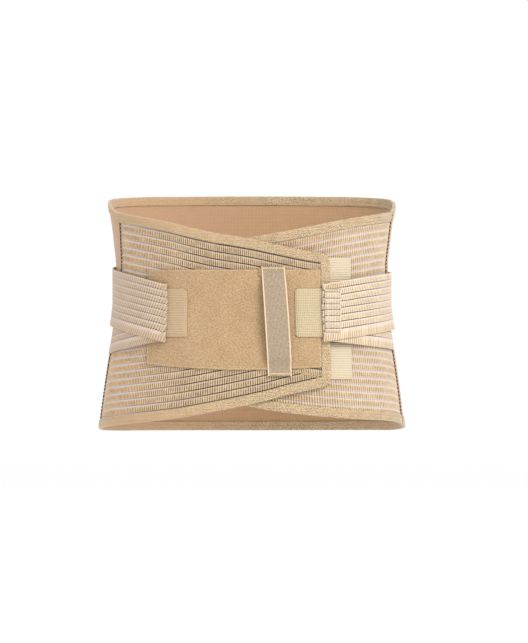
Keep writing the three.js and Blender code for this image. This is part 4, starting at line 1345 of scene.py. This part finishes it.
def flap_threads(x, y):
    """The folded flap is relaxed, so its threads lie closer. V counts its own rows."""
    first, pitch = FLAP_ROWS
    return x * girth_ratio(y) * LEFT_STRAP_PITCH / FLAP_PITCH, (y - FLAP_BOTTOM - first) / pitch * ROW_STEP


flap_height = FLAP_TOP - FLAP_BOTTOM
flap_rows = [0.0, *rib_rows(*FLAP_ROWS, flap_height - 3)[1:-1], flap_height - 0.6, flap_height]
flap_columns = thread_columns(FLAP_START, FLAP_END, FLAP_PITCH)
bm, area = cut_cloth(flap_columns, np.array(flap_rows), flap_place, (), open_cell)
on_left_strap = strap_lift(1, LEFT_TIP, 2)
flap = wear(
    "left_strap_flap",
    bm,
    on_left_strap,
    left_strap_mesh,
    "strap_mesh",
    ["left_strap_upper_band"],
    flap_threads,
)

# %% [markdown]
# Dense lines of cream thread fix both strap ends: a double line along the left strap's end, a zigzag at the
# flap's free edge and short hatched bars at the corners.

# %% Stitches of the straps
def upright(length, top, bottom):
    """An upright line at a true length."""
    return [(length, bottom), (length, top)]


def on_left_end(girth, height):
    """On the left strap's upper band."""
    return strap_lift(1, LEFT_TIP, 1)(girth, height) + STRAP_WALL


def on_flap(girth, height):
    """On the flap."""
    return on_left_strap(girth, height) + STRAP_WALL - 0.2


def on_right_end(girth, height):
    """On the right strap's upper band."""
    return strap_lift(-1, RIGHT_TIP, 1)(girth, height) + STRAP_WALL


END_STITCH = (2.1, 1.6)
end_lines = straight_stitches(upright(74.9, -24, -79), *END_STITCH)
for drop in (0, 1.7, 3.4, 5.1):
    end_lines += straight_stitches([(75.6, -19.4 - drop), (93, -16.6 - drop)], 1.9, 1.5)
sew("left_strap_end_stitches", end_lines, 0.8, on_left_end, cream_thread, "strap_mesh")
flap_lines = straight_stitches(upright(76.6, -25, -69), *END_STITCH)
flap_lines += zigzag_stitches(upright(89.6, -25, -69), 1.5, 1.8)
sew("left_strap_flap_stitches", flap_lines, 0.8, on_flap, white_thread, "strap_mesh")
knot = zigzag_stitches(upright(-90.6, -68, -76), 0.9, 2.6)
right_lines = knot + straight_stitches(upright(-90.2, -19, -68), 2.0, 1.9)
sew("right_strap_end_stitches", right_lines, 0.7, on_right_end, cream_thread, "strap_mesh")

# %% [markdown]
# ## Floor and light
# A pale floor, and the plain soft light of a product photograph: white all round, with one large soft lamp
# high at the front right, because the belt is lighter on that side.

# %% Floor
FLOOR_LEVEL = -0.46
white_paint, paint_surface, *_ = new_cloth("matt_white_paint", 1.0, 0.0)
paint_surface.inputs["Base Color"].default_value = linear("#fdfdfd")
bm = bmesh.new()
bmesh.ops.create_grid(bm, x_segments=2, y_segments=2, size=6)
floor_mesh = bpy.data.meshes.new("studio_floor")
for vert in bm.verts:
    vert.co.z = FLOOR_LEVEL
bm.to_mesh(floor_mesh)
bm.free()
floor_mesh.materials.append(white_paint)
floor = bpy.data.objects.new("studio_floor", floor_mesh)
bpy.context.collection.objects.link(floor)


# %% Light
LAMP_PLACE = Vector((1.1, -1.5, 1.3))
BELT_MIDDLE = Vector((0, 0, -0.05))
lamp = bpy.data.objects.new("key_lamp", bpy.data.lights.new("key_lamp", "AREA"))
lamp.data.size = 0.8
lamp.data.energy = 28
lamp.location = LAMP_PLACE
lamp.rotation_euler = (LAMP_PLACE - BELT_MIDDLE).to_track_quat("Z", "Y").to_euler()
bpy.context.collection.objects.link(lamp)

world = bpy.data.worlds.new("white_room")
world.use_nodes = True
world.node_tree.nodes["Background"].inputs["Color"].default_value = (1, 1, 1, 1)
world.node_tree.nodes["Background"].inputs["Strength"].default_value = 1.0
bpy.context.scene.world = world
bpy.context.scene.view_settings.view_transform = "Standard"
